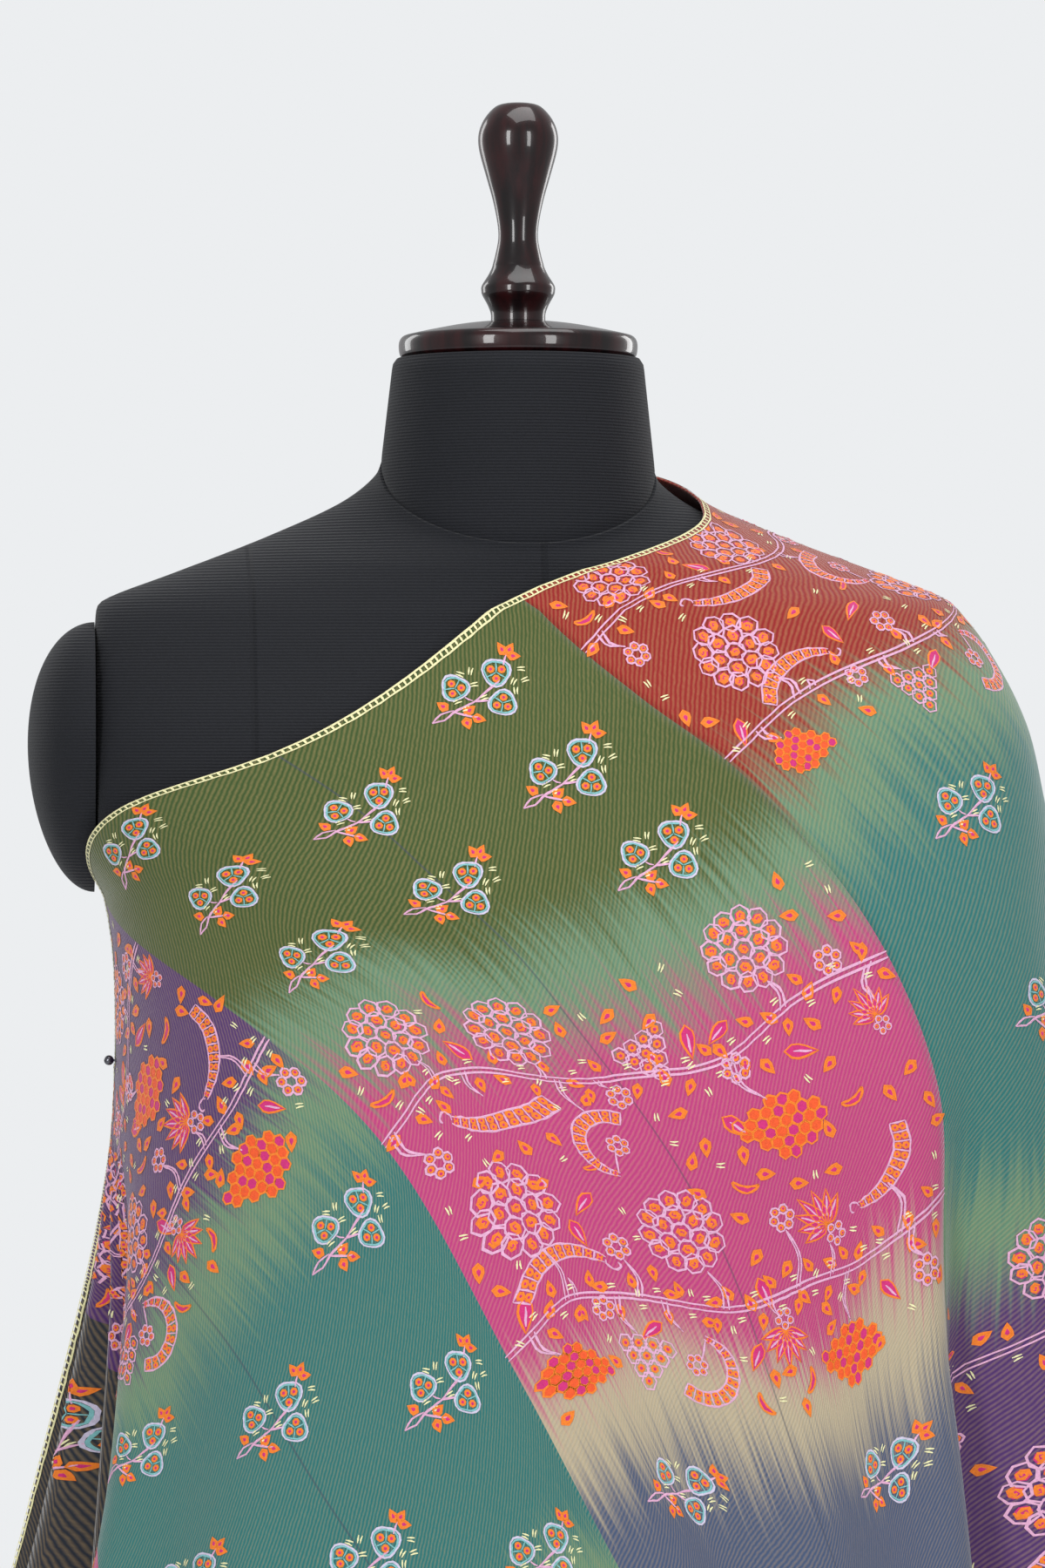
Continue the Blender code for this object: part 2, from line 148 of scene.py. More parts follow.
# height: how far the cloth stands out at the form's right side, left side, front and back
DRAPE_SECTIONS = {
    0.350: (0.252, 0.3180, 0.190, 0.180),
    0.500: (0.238, 0.3060, 0.180, 0.166),
    0.700: (0.214, 0.2900, 0.166, 0.148),
    0.900: (0.192, 0.2720, 0.150, 0.130),
    1.000: (0.182, 0.2620, 0.142, 0.119),
    1.060: (0.177, 0.2550, 0.136, 0.112),
    1.120: (0.174, 0.2480, 0.132, 0.106),
    1.200: (0.179, 0.2350, 0.116, 0.106),
    1.245: (0.196, 0.2275, 0.098, 0.104),
    1.277: (0.200, 0.2205, 0.086, 0.098),
    1.303: (0.200, 0.2090, 0.074, 0.089),
    1.322: (0.195, 0.1970, 0.066, 0.080),
    1.333: (0.183, 0.1860, 0.063, 0.073),
    1.342: (0.159, 0.1630, 0.061, 0.068),
    1.357: (0.117, 0.1200, 0.059, 0.062),
    1.371: (0.080, 0.0820, 0.058, 0.058),
    1.380: (0.066, 0.0700, 0.057, 0.057),
    1.390: (0.061, 0.0650, 0.057, 0.057),
}
# height: squareness of the cloth's level section on the form's right and on its left
DRAPE_SQUARENESS = {1.00: (2.15, 2.3), 1.20: (2.35, 3.0), 1.30: (2.15, 2.9), 1.34: (2.00, 2.0)}
# height: how steeply the section leans forward, as it turns into the neckline
LEAN = {1.325: 0.00, 1.342: 0.10, 1.357: 0.22, 1.371: 0.38, 1.390: 0.60}

# Lines down the cloth from its top edge, from the top of the left shoulder round the front to the right
# side: place along the sheet, length as draped, then the turn and height at the start and on the way.
# Below the last of these points the line hangs straight. The lines of the back mirror them.
LINES = {
    "ridge": (0.000, 1.00, (90, 1.374), (90, 1.350), (90, 1.300), (90, 1.200), (90, 1.100)),
    "neck": (0.065, 1.00, (37, 1.369), (60, 1.335), (68, 1.270), (72, 1.200), (73, 1.100)),
    "second": (0.122, 1.00, (-5, 1.336), (28, 1.287), (46, 1.236), (55, 1.120), (55, 1.000)),
    "chest": (0.247, 0.97, (-54, 1.262), (-27, 1.217), (0, 1.160), (27, 1.055), (43, 0.880)),
    "underarm": (0.310, 0.95, (-73, 1.236), (-43, 1.190), (-14, 1.130), (12, 1.027), (31, 0.880)),
    "third": (0.372, 0.92, (-86, 1.198), (-55, 1.156), (-28, 1.098), (-5, 0.998), (18, 0.880)),
    "fold": (0.452, 0.78, (-86, 1.126), (-79, 1.098), (-73, 1.055), (-69, 0.990), (-70, 0.850)),
    "fall": (0.500, 0.68, (-88, 1.124), (-84, 1.090), (-80, 1.050), (-79, 0.990), (-79, 0.850)),
    "edge": (0.540, 0.58, (-89.4, 1.124), (-89, 1.090), (-88, 1.050), (-88, 0.990), (-88, 0.850)),
}
# Hanging folds: turn at the top and at the hem, height where it starts, reach over which it grows,
# half width in degrees, and depth, out from the body or, below zero, in towards it.
FOLDS = [
    (-87, -86, 1.120, 0.28, 4.5, 0.034),
    (-77, -77, 1.100, 0.25, 4.5, -0.022),
    (-70, -69, 1.115, 0.28, 5.0, 0.013),
    (-58, -57, 1.050, 0.35, 5.0, -0.009),
    (-44, -47, 1.020, 0.40, 6.0, 0.014),
    (-30, -34, 1.000, 0.45, 6.5, -0.012),
    (-14, -20, 1.030, 0.50, 7.0, 0.013),
    (4, -3, 0.960, 0.45, 6.5, -0.014),
    (20, 12, 0.950, 0.45, 6.0, 0.016),
    (30, 25, 0.960, 0.40, 4.0, -0.013),
    (38, 36, 1.000, 0.40, 4.0, 0.012),
    (45, 45, 1.020, 0.35, 3.0, -0.011),
    (52, 53, 1.180, 0.30, 3.5, 0.014),
    (59, 61, 1.200, 0.30, 3.2, -0.019),
    (67, 69, 1.230, 0.35, 4.0, 0.013),
    (75, 77, 1.240, 0.35, 3.5, -0.015),
    (84, 86, 1.230, 0.40, 4.5, 0.016),
    (94, 95, 1.200, 0.40, 4.0, -0.016),
    (104, 104, 1.220, 0.35, 4.5, 0.015),
    (113, 114, 1.190, 0.40, 4.0, -0.018),
    (123, 124, 1.150, 0.35, 4.5, 0.016),
    (132, 134, 1.080, 0.40, 4.0, -0.014),
    (143, 146, 1.060, 0.45, 6.0, 0.015),
    (156, 160, 1.000, 0.40, 5.5, -0.014),
    (168, 174, 1.020, 0.45, 6.0, 0.014),
    (182, 189, 0.980, 0.45, 6.5, -0.015),
    (197, 204, 1.040, 0.50, 6.5, 0.015),
    (214, 219, 1.000, 0.40, 6.0, -0.012),
    (228, 232, 1.030, 0.40, 6.0, 0.013),
    (240, 242, 1.060, 0.35, 4.5, -0.010),
    (250, 250, 1.110, 0.30, 5.0, 0.014),
    (257.5, 258, 1.100, 0.28, 4.0, -0.020),
    (267, 266, 1.120, 0.30, 4.5, 0.032),
]
FOLD_FOOT = 0.40

# Profile of the turned knob: height above the neck cap's dome, radius
KNOB = [
    (0.0000, 0.0122), (0.0035, 0.0123), (0.0075, 0.0138), (0.0115, 0.0160), (0.0135, 0.0165),
    (0.0160, 0.0163), (0.0205, 0.0135), (0.0240, 0.0118), (0.0258, 0.0113), (0.0300, 0.0102),
    (0.0370, 0.0089), (0.0440, 0.0093), (0.0540, 0.0113), (0.0640, 0.0141), (0.0740, 0.0169),
    (0.0800, 0.0179), (0.0850, 0.0175), (0.0900, 0.0155), (0.0945, 0.0120), (0.0970, 0.0080),
    (0.0980, 0.0000),
]
# Profile of the neck cap: height above the neck's top, radius
NECK_CAP = [
    (0.0000, 0.0515), (0.0012, 0.0528), (0.0035, CAP_RADIUS), (0.0070, CAP_RADIUS),
    (0.0095, 0.0520), (0.0105, 0.0490), (0.0125, 0.0400), (0.0150, 0.0270),
    (0.0165, 0.0130), (0.0165, 0.0000),
]
# Profile of the stand's base: height above the floor, radius
BASE = [
    (0.0000, BASE_RADIUS - 0.004), (0.0040, BASE_RADIUS), (0.0100, BASE_RADIUS),
    (0.0150, BASE_RADIUS - 0.006), (BASE_THICK, BASE_RADIUS - 0.040), (0.0240, 0.060), (0.0300, 0.036),
    (0.0420, 0.026), (0.0600, 0.0235), (0.0640, 0.0200), (0.0640, 0.0000),
]


def eased(x, xs, ys):
    """A smooth curve through (xs, ys), read at x, and straight beyond its ends."""
    xs, ys, x = np.asarray(xs, float), np.asarray(ys, float), np.asarray(x, float)
    tail = (1,) * (ys.ndim - 1)
    step = np.diff(xs)
    wide = step.reshape(-1, *tail)
    slope = np.diff(ys, axis=0) / wide
    inner = (slope[1:] * wide[:-1] + slope[:-1] * wide[1:]) / (wide[1:] + wide[:-1])
    tangent = np.concatenate([slope[:1], inner, slope[-1:]])
    i = np.clip(np.searchsorted(xs, x) - 1, 0, len(step) - 1)
    along = (x - xs[i]) / step[i]
    inside = np.clip(along, 0, 1)
    beyond = ((along - inside) * step[i]).reshape(x.shape + tail)
    u, h = inside.reshape(x.shape + tail), step[i].reshape(x.shape + tail)
    value = (
        ys[i] * (1 + 2 * u) * (1 - u) ** 2
        + tangent[i] * h * u * (1 - u) ** 2
        + ys[i + 1] * u**2 * (3 - 2 * u)
        - tangent[i + 1] * h * u**2 * (1 - u)
    )
    return value + np.where(beyond > 0, tangent[i + 1], tangent[i]) * beyond


def from_table(table, height):
    heights = sorted(table)
    return np.moveaxis(eased(height, heights, [table[h] for h in heights]), -1, 0)


def polar(turn, right, left, front, back, square):
    """Radius at this turn of a rounded section with these four reaches."""
    side = np.where(np.sin(turn) > 0, left, right)
    depth = np.where(np.cos(turn) > 0, front, back)
    total = np.abs(np.sin(turn) / side) ** square + np.abs(np.cos(turn) / depth) ** square
    return total ** (-1 / square)


def place(turn, height, radius):
    """The point at this turn and radius on the section at this height, which leans near the neck."""
    x, y = radius * np.sin(turn), -radius * np.cos(turn)
    lean = np.interp(height, list(LEAN), list(LEAN.values()))
    return np.stack([x, y, height + lean * y], -1)


def form_radius(turn, height):
    wide, front, back, square = from_table(FORM_SECTIONS, height)
    return polar(turn, wide, wide, front, back, square)


def drape_radius(turn, height):
    """Radius of the cloth before its folds: its own section, and never inside the form."""
    right, left, front, back = from_table(DRAPE_SECTIONS, height)
    within = np.clip(height, min(DRAPE_SQUARENESS), max(DRAPE_SQUARENESS))
    square = np.where(np.sin(turn) > 0, *from_table(DRAPE_SQUARENESS, within)[::-1])
    cloth = polar(turn, right, left, front, back, square)
    return np.maximum(cloth, form_radius(turn, np.maximum(height, TORSO_FOOT))) + CLOTH_CLEAR


def fold_depth(turn, height):
    total = np.zeros_like(height)
    for top_turn, foot_turn, top, reach, width, depth in FOLDS:
        down = np.clip((top - height) / (top - FOLD_FOOT), 0, 1.1)
        centre = np.radians(top_turn + (foot_turn - top_turn) * down)
        grown = np.clip((top - height) / reach, 0, 1)
        bump = np.exp(-(((turn - centre) / radians(width)) ** 2))
        total += depth * grown**2 * (3 - 2 * grown) * bump
    return total


def traced(line, rows):
    """Turn and height at these fractions of one line's draped length."""
    _, length, *points = line
    knots = np.array(points, float)
    knots[:, 0] = np.radians(knots[:, 0])
    lead = eased(np.linspace(0, len(knots) - 1, 400), np.arange(len(knots)), knots)
    drop = knots[-1] - np.linspace(0, 1, 300)[1:, None] * [0, 0.9]
    path = np.vstack([lead, drop])
    spots = place(path[:, 0], path[:, 1], drape_radius(path[:, 0], path[:, 1]))
    run = np.concatenate([[0], np.cumsum(np.linalg.norm(np.diff(spots, axis=0), axis=1))])
    want = rows * length
    return np.stack([np.interp(want, run, path[:, 0]), np.interp(want, run, path[:, 1])], -1)


def cloth_grid(across, rows):
    """Turn and height of the cloth at these places across it, where the back counts below zero."""
    places = [line[0] for line in LINES.values()]
    lines = np.array([traced(line, rows) for line in LINES.values()])
    grid = eased(np.abs(across), places, lines)
    grid[across < 0, :, 0] = pi - grid[across < 0, :, 0]
    return grid


# How the flat sheet hangs: the top edge is pinned at the fold line's top, from where the loose corner
# falls, and the short end of the sheet is the foot of the fold and of the fall.
THIRD = LINES["third"][0]
FOLD = LINES["fold"][0]
EDGE = LINES["edge"][0]
# How far out of the fold the loose edge has run by a share of the way down: slowly over the pinned stretch
PINNED = 0.180
EDGE_ROWS, EDGE_OUT = (0.0, 0.17, 1.0), (0.0, PINNED, 1.0)
GRID_PLACES = np.linspace(0, EDGE, 271)
GRID_ROWS = np.linspace(0, 1.02, 409)
DRAPE_GRID = cloth_grid(GRID_PLACES, GRID_ROWS)


def end_of(side):
    return np.where(np.asarray(side) < 0, BACK_END, FRONT_END)


def slack(row, end):
    """How much further along the sheet the loose edge is than the fold, at the same row."""
    drop = end - FOLD
    far = np.interp(row, EDGE_ROWS, EDGE_OUT)
    free = PINNED + (far - PINNED) * (drop - PINNED) / (1 - PINNED)
    return np.where(far < PINNED, far, free) - drop * row


def flat_place(across, row):
    """The flat pattern's two distances at a place across the draped cloth and a row down it."""
    size, end = np.abs(across), end_of(across)
    inner = np.minimum(size, FOLD)
    along = inner + np.clip((inner - THIRD) / (FOLD - THIRD), 0, 1) * (end - FOLD) * row
    hung = np.clip((EDGE - size) / (EDGE - FOLD), 0, 1)
    along = along + slack(row, end) * (1 - hung)
    return np.where(across < 0, -along, along), row * hung


def draped_place(along, down):
    """The place across the draped cloth and the row down it of a point of the flat pattern."""
    size, end = np.abs(along), end_of(along)
    gain = (end - FOLD) / (FOLD - THIRD)
    across = np.where(size <= THIRD, size, (size + gain * down * THIRD) / (1 + gain * down))
    row = np.array(down, float)
    loose = size > FOLD + (end - FOLD) * np.clip(down, 0, 1)
    if loose.any():
        far, drop, stop = size[loose], np.clip(down[loose], 0, 1), end[loose]
        low, high = np.maximum(drop, 1e-6), np.full(far.shape, 1.02)
        for _ in range(24):
            middle = (low + high) / 2
            reach = FOLD + (stop - FOLD) * middle + slack(middle, stop) * (1 - drop / middle)
            short = reach < far
            low, high = np.where(short, middle, low), np.where(short, high, middle)
        row[loose] = low
        across[loose] = EDGE - (EDGE - FOLD) * drop / low
    return np.where(along < 0, -across, across), row


def sin_of(angle):
    """Sine of an angle given in sixths of a turn."""
    return np.sin(2 * pi * angle / 6.0)


def ripples(along, down):
    """The small unevenness of the hanging cloth, in metres, on top of its modelled folds."""
    soft = sin_of(9 * along + 23 * down) * sin_of(15 * along - 8 * down + 1.3)
    fine = sin_of(41 * along + 12 * down + 0.7) * sin_of(19 * down - 27 * along + 2.1)
    low = np.clip((down - 0.02) / 0.25, 0, 1)
    return 0.0016 * low * soft + 0.0006 * fine * np.clip(down / 0.05, 0, 1)


def pleats(size, height, radius, bare):
    """How far the loose cloth of the falls is folded in behind its edge, down from the pin."""
    over = np.clip((size - PLEAT_START) / (EDGE - PLEAT_START), 0, 1)
    grown = np.clip((PLEAT_TOP - height) / PLEAT_REACH, 0, 1)
    below = np.clip((TORSO_FOOT - height) / 0.10, 0, 1)
    room = np.maximum(radius - bare + 0.05 * below, 0) * 0.9
    wave = 0.5 - 0.5 * np.cos(2 * pi * PLEATS * over)
    return np.minimum(room, PLEAT_DEPTH) * wave * grown**1.5 * (3 - 2 * grown) ** 0.5


def cloth_spot(across, row):
    """The point of the cloth's under side at this place across it and this row."""
    size = np.clip(np.abs(across), 0, EDGE) / EDGE * (len(GRID_PLACES) - 1)
    deep = np.clip(row, 0, GRID_ROWS[-1]) / GRID_ROWS[-1] * (len(GRID_ROWS) - 1)
    i = np.minimum(size.astype(int), len(GRID_PLACES) - 2)
    j = np.minimum(deep.astype(int), len(GRID_ROWS) - 2)
    a, b = (size - i)[..., None], (deep - j)[..., None]
    upper = DRAPE_GRID[i, j] * (1 - a) + DRAPE_GRID[i + 1, j] * a
    lower = DRAPE_GRID[i, j + 1] * (1 - a) + DRAPE_GRID[i + 1, j + 1] * a
    spot = upper * (1 - b) + lower * b
    turn = np.where(across < 0, pi - spot[..., 0], spot[..., 0])
    along, down = flat_place(across, row)
    height = spot[..., 1]
    bare = form_radius(turn, np.maximum(height, TORSO_FOOT)) + CLOTH_CLEAR - 0.001
    folds = fold_depth(turn, height)
    deeper = HEM_FOLDS * np.clip((DEEPER_FROM - height) / DEEPER_REACH, 0, 1)
    deeper = deeper * np.clip(np.abs(across) / THIRD - 0.3, 0, 1)
    folds = folds * (1 + deeper * np.where(folds > 0, OUTWARD, INWARD))
    radius = np.maximum(drape_radius(turn, height) + folds, bare)
    radius = radius - pleats(np.abs(across), height, radius, bare)
    return place(turn, height, np.maximum(radius + ripples(along, down), bare))


def unit(vectors):
    return vectors / np.maximum(np.linalg.norm(vectors, axis=-1, keepdims=True), 1e-12)


def on_cloth(along, down, lift):
    """Points over the cloth's outer face, from the flat pattern, this much above it."""
    step = 0.0006
    across, row = draped_place(along, down)
    spot = cloth_spot(across, row)
    wide = cloth_spot(across + step, row) - cloth_spot(across - step, row)
    tall = cloth_spot(across, row + step) - cloth_spot(across, np.maximum(row - step, 0))
    out = unit(np.cross(wide, tall))
    return spot + out * (CLOTH_THICK + lift)[..., None]


def columns(first, last):
    """Places across the sheet, evenly apart by what they measure at the top and at the hem."""
    fine = np.linspace(first, last, 600)
    rows = np.array([0.05, 0.5, 1.0])
    ends = cloth_spot(*np.meshgrid(fine, rows, indexing="ij"))
    apart = np.linalg.norm(np.diff(ends, axis=0), axis=2).mean(axis=1)
    run = np.concatenate([[0], np.cumsum(apart)])
    count = round(run[-1] / COLUMN_STEP) + 1
    return np.interp(np.linspace(0, run[-1], count), run, fine)


def new_object(name, mesh, *finishes):
    made = bpy.data.objects.new(name, mesh)
    for finish in finishes:
        mesh.materials.append(finish)
    bpy.context.scene.collection.objects.link(made)
    return made


def mesh_of(name, points, faces):
    mesh = bpy.data.meshes.new(name)
    mesh.from_pydata(np.asarray(points).tolist(), [], faces if isinstance(faces, list) else faces.tolist())
    mesh.shade_smooth()
    return mesh


def quads_of(tall, wide, wrap=False):
    """Quads over a grid of this many rows and columns of points."""
    index = np.arange(tall * wide).reshape(tall, wide)
    if wrap:
        index = np.concatenate([index, index[:, :1]], axis=1)
    corners = index[:-1, :-1], index[:-1, 1:], index[1:, 1:], index[1:, :-1]
    return np.stack([c.reshape(-1) for c in corners], -1)


def rim_of(tall, wide):
    """Quads that join the rims of two such grids, the second one's points after the first one's."""
    index = np.arange(tall * wide).reshape(tall, wide)
    loop = np.concatenate([index[0, :-1], index[:-1, -1], index[-1, :0:-1], index[:0:-1, 0]])
    after = np.roll(loop, -1)
    count = tall * wide
    return np.stack([after, loop, loop + count, after + count], -1)


def build_cloth(name, first, last, *nodes):
    """One stretch of the sheet, as a thin shell that carries its flat pattern as a UV map."""
    places = columns(first, last)
    rows = np.linspace(0, 1, CLOTH_ROWS) ** ROW_SPREAD
    row, across = np.meshgrid(rows, places, indexing="ij")
    under = cloth_spot(across, row)
    wide = np.gradient(under, axis=1)
    tall = np.gradient(under, axis=0)
    out = unit(np.cross(wide, tall))
    outer = under + out * CLOTH_THICK
    count = under[..., 0].size
    quads = quads_of(*under.shape[:2])
    faces = np.concatenate([quads, quads[:, ::-1] + count, rim_of(*under.shape[:2])])
    points = np.concatenate([outer.reshape(-1, 3), under.reshape(-1, 3)])
    mesh = mesh_of(name, points, faces)
    along, down = flat_place(across, row)
    flat = np.stack([along, down], -1).reshape(-1, 2)
    pattern = mesh.uv_layers.new(name="Cloth")
    corners = np.empty(len(mesh.loops), int)
    mesh.loops.foreach_get("vertex_index", corners)
    pattern.data.foreach_set("uv", flat[corners % count].astype(np.float32).ravel())
    made = new_object(name, mesh, cashmere)
    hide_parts(*nodes)
    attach(made, BODY)
    return made


def linear(*screen):
    """A colour given as 0 to 255 on screen, as the shader's linear numbers."""
    return tuple(((c / 255 + 0.055) / 1.055) ** 2.4 if c > 10 else c / 255 / 12.92 for c in screen)


class Value:
    """A number at a node's output, to which plain arithmetic adds maths nodes."""

    def __init__(self, finish, output):
        self.finish, self.output = finish, output

    def maths(self, operation, other=0.0, swapped=False):
        pair = (other, self) if swapped else (self, other)
        made = self.finish.node("ShaderNodeMath", enumerate(pair), operation=operation)
        return Value(self.finish, made.outputs[0])

    def __add__(self, other):
        return self.maths("ADD", other)

    def __sub__(self, other):
        return self.maths("SUBTRACT", other)

    def __rsub__(self, other):
        return self.maths("SUBTRACT", other, swapped=True)

    def __mul__(self, other):
        return self.maths("MULTIPLY", other)

    def __gt__(self, other):
        return self.maths("GREATER_THAN", other)

    def __lt__(self, other):
        return self.maths("LESS_THAN", other)


class Finish:
    """A node material under construction, whose constants are named as the shader's sockets are."""

    def __init__(self, name, **constants):
        self.material = bpy.data.materials.new(name)
        self.material.use_nodes = True
        self.tree = self.material.node_tree
        self.shader = self.tree.nodes["Principled BSDF"]
        for socket, value in constants.items():
            self.shader.inputs[socket.replace("_", " ")].default_value = value

    def feed(self, socket, value):
        self.tree.links.new(value.output, self.shader.inputs[socket])

    def node(self, kind, values=(), **settings):
        made = self.tree.nodes.new(kind)
        for key, value in settings.items():
            setattr(made, key, value)
        for key, value in dict(values).items():
            if isinstance(value, Value):
                self.tree.links.new(value.output, made.inputs[key])
            else:
                made.inputs[key].default_value = value
        return made

    def parts(self, output):
        made = self.node("ShaderNodeSeparateXYZ", {0: Value(self, output)})
        return [Value(self, part) for part in made.outputs]

    def position(self):
        return self.parts(self.node("ShaderNodeTexCoord").outputs["Object"])

    def noise(self, where, scale, detail=2.0):
        """Noise at a place given as two or three numbers."""
        spot = self.node("ShaderNodeCombineXYZ", enumerate(where)).outputs[0]
        values = {"Vector": Value(self, spot), "Scale": scale, "Detail": detail}
        return Value(self, self.node("ShaderNodeTexNoise", values).outputs["Fac"])

    def mix(self, share, *colours):
        first, second = ((*colour, 1) if isinstance(colour, tuple) else colour for colour in colours)
        made = self.node("ShaderNodeMix", {}, data_type="RGBA")
        for socket, value in zip((0, 6, 7), (share, first, second)):
            if isinstance(value, Value):
                self.tree.links.new(value.output, made.inputs[socket])
            else:
                made.inputs[socket].default_value = value
        return Value(self, made.outputs[2])

    def ramp(self, share, stops):
        made = self.node("ShaderNodeValToRGB", {"Fac": share})
        made.color_ramp.interpolation = "EASE"
        while len(made.color_ramp.elements) < len(stops):
            made.color_ramp.elements.new(0.5)
        for element, (at, colour) in zip(made.color_ramp.elements, stops):
            element.position = at
            element.color = (*colour, 1)
        return Value(self, made.outputs["Color"])

    def bump(self, height, distance, strength):
        made = self.node("ShaderNodeBump", {"Height": height, "Distance": distance, "Strength": strength})
        self.feed("Normal", Value(self, made.outputs["Normal"]))


# Dyed lengths of each woven strip: where the strip starts along the sheet, then the distance down it at
# which each dye ends and the dye's colour
GREEN, PINK, TEAL = linear(54, 80, 30), linear(190, 52, 124), linear(12, 112, 112)
RED, PURPLE, STEEL = linear(146, 12, 16), linear(74, 38, 106), linear(62, 82, 116)
NAVY, RUST, PLUM = linear(34, 42, 54), linear(150, 66, 32), linear(112, 32, 84)
MINT, BEIGE = linear(96, 138, 110), linear(184, 172, 146)
DYES = [
    (-1.200, (0.21, TEAL), (0.44, PINK), (0.68, GREEN), (1.0, NAVY)),
    (-0.872, (0.19, PINK), (0.42, NAVY), (0.66, RED), (1.0, TEAL)),
    (-0.622, (0.17, GREEN), (0.40, PURPLE), (0.63, TEAL), (1.0, PINK)),
    (-0.372, (0.18, NAVY), (0.38, PINK), (0.62, STEEL), (1.0, RED)),
    (-0.122, (0.15, RED), (0.36, TEAL), (0.60, PURPLE), (1.0, GREEN)),
    (0.122, (0.17, GREEN), (0.38, PINK), (0.62, STEEL), (1.0, RUST)),
    (0.372, (0.19, PURPLE), (0.45, TEAL), (0.68, PINK), (1.0, NAVY)),
    (0.622, (0.20, NAVY), (0.43, PINK), (0.66, GREEN), (1.0, TEAL)),
    (0.872, (0.18, RUST), (0.41, TEAL), (0.64, PLUM), (1.0, GREEN)),
]
DYE_BLEED = 0.045
TAN = linear(168, 142, 98)


# Where the seams between strips fall along the sheet, and the half width of the dark thread beside them
SEAM_START = -1.128
SEAM_SHARE = 0.49
SEAM_HALF = 0.0018


def cashmere_finish():
    """Twill of two yarns: strips dip-dyed in lengths that bleed into each other, over an undyed tan."""
    made = Finish("cashmere_twill", Roughness=0.82, Sheen_Weight=0.35, Sheen_Roughness=0.45,
                  Specular_IOR_Level=0.25)
    along, down, _ = made.parts(made.node("ShaderNodeUVMap", uv_map="Cloth").outputs[0])
    streak = made.noise((along * 620, down * 8), 1.0, 2) - 0.5
    sweep = made.noise((along * 14, down * 5), 1.0, 1) - 0.5
    level = down + streak * 0.09 + sweep * 0.07
    dyed = None
    for start, *lengths in DYES:
        stops = []
        for (end, colour), (_, after) in zip(lengths, lengths[1:]):
            pale = BEIGE if after is STEEL else MINT
            stops += [(end - DYE_BLEED, colour), (end, pale), (end + 1.2 * DYE_BLEED, after)]
        strip = made.ramp(level, stops)
        dyed = strip if dyed is None else made.mix(along > start, dyed, strip)
    tilt = along * 0.72 + down * -0.69
    wander = made.noise((along, down), 210, 2) * 3.6
    twill = (tilt * (2 * pi / TWILL_PITCH) + wander).maths("SINE") * 0.5 + 0.5
    slub = made.noise((along * 900, down * 160), 1.0, 2)
    woven = made.mix(twill * 0.50 * (slub + 0.4), dyed, made.mix(0.40, TAN, dyed))
    # Painted shade: the twill's grooves, where the bump sinks, are darkened towards near black
    dark = made.mix((1.0 - twill) * 0.17, woven, (0.02, 0.02, 0.025))
    shade = made.mix(slub * 0.35, dark, woven)
    share = ((along - SEAM_START) * (1 / STRIP_WIDTH)).maths("FRACT")
    beside = (share - SEAM_SHARE).maths("ABSOLUTE")
    made.feed("Base Color", made.mix((beside < SEAM_HALF) * 0.5, shade, linear(60, 66, 84)))
    fuzz = made.noise((along, down), 2600, 2)
    made.bump(twill + fuzz * 0.8, 0.0004, 0.5)
    return made.material


def thread_finish(name, colour):
    """Floss: two close shades of one colour, finely ridged along the stitches."""
    made = Finish(name, Roughness=0.55, Sheen_Weight=0.25, Specular_IOR_Level=0.35)
    spot = made.position()
    deep = tuple(c * 0.62 for c in colour)
    light = tuple(min(1, c * 1.15) for c in colour)
    made.feed("Base Color", made.mix(made.noise(spot, 900, 2), deep, light))
    made.bump(made.noise(spot, 2600, 1), 0.0003, 0.7)
    return made.material


def jersey_finish(name, seams):
    """Black knit, ribbed level, with its sewn seams as fine grooves: (axis, place, above)."""
    made = Finish(name, Roughness=0.80, Sheen_Weight=0.08, Sheen_Roughness=0.4, Specular_IOR_Level=0.28)
    spot = made.position()
    height = spot[2]
    rib = (height * (2 * pi / RIB_PITCH) + made.noise(spot, 70, 1) * 0.9).maths("SINE")
    nap = made.noise(spot, 1500, 3)
    relief = rib * 0.55 + nap
    for axis, seam, above in seams:
        near = 1.0 - (spot["xyz".index(axis)] - seam).maths("ABSOLUTE") * (1 / SEAM_GROOVE)
        relief = relief - near.maths("MAXIMUM", 0.0) * (height > above) * 5.0
    made.feed("Base Color", made.mix(nap, linear(10, 11, 14), linear(27, 29, 36)))
    made.bump(relief, 0.00035, 0.8)
    return made.material


def wood_finish():
    """Dark red-brown turned wood under thick lacquer."""
    made = Finish("lacquered_wood", Roughness=0.30, Specular_IOR_Level=0.2, Coat_Weight=0.7,
                  Coat_Roughness=0.05)
    x, y, z = made.position()
    grain = made.noise((x * 160, y * 160, z * 14), 1.0, 4)
    made.feed("Base Color", made.ramp(grain, [(0.35, linear(12, 3, 4)), (0.68, linear(40, 8, 10))]))
    made.bump(grain, 0.0001, 0.3)
    return made.material


def iron_finish():
    """Black stand, painted, a little rubbed."""
    made = Finish("painted_iron", Metallic=0.3)
    spot = made.position()
    worn = made.noise(spot, 45, 4)
    made.feed("Base Color", made.ramp(worn, [(0.40, linear(18, 18, 19)), (0.75, linear(46, 46, 48))]))
    made.feed("Roughness", worn * 0.25 + 0.30)
    made.bump(made.noise(spot, 700, 2), 0.0002, 0.4)
    return made.material


def speckled_finish(name, scale, dark, light, **constants):
    """A plain finish of two close shades."""
    made = Finish(name, **constants)
    made.feed("Base Color", made.mix(made.noise(made.position(), scale, 2), linear(*dark), linear(*light)))
    return made.material


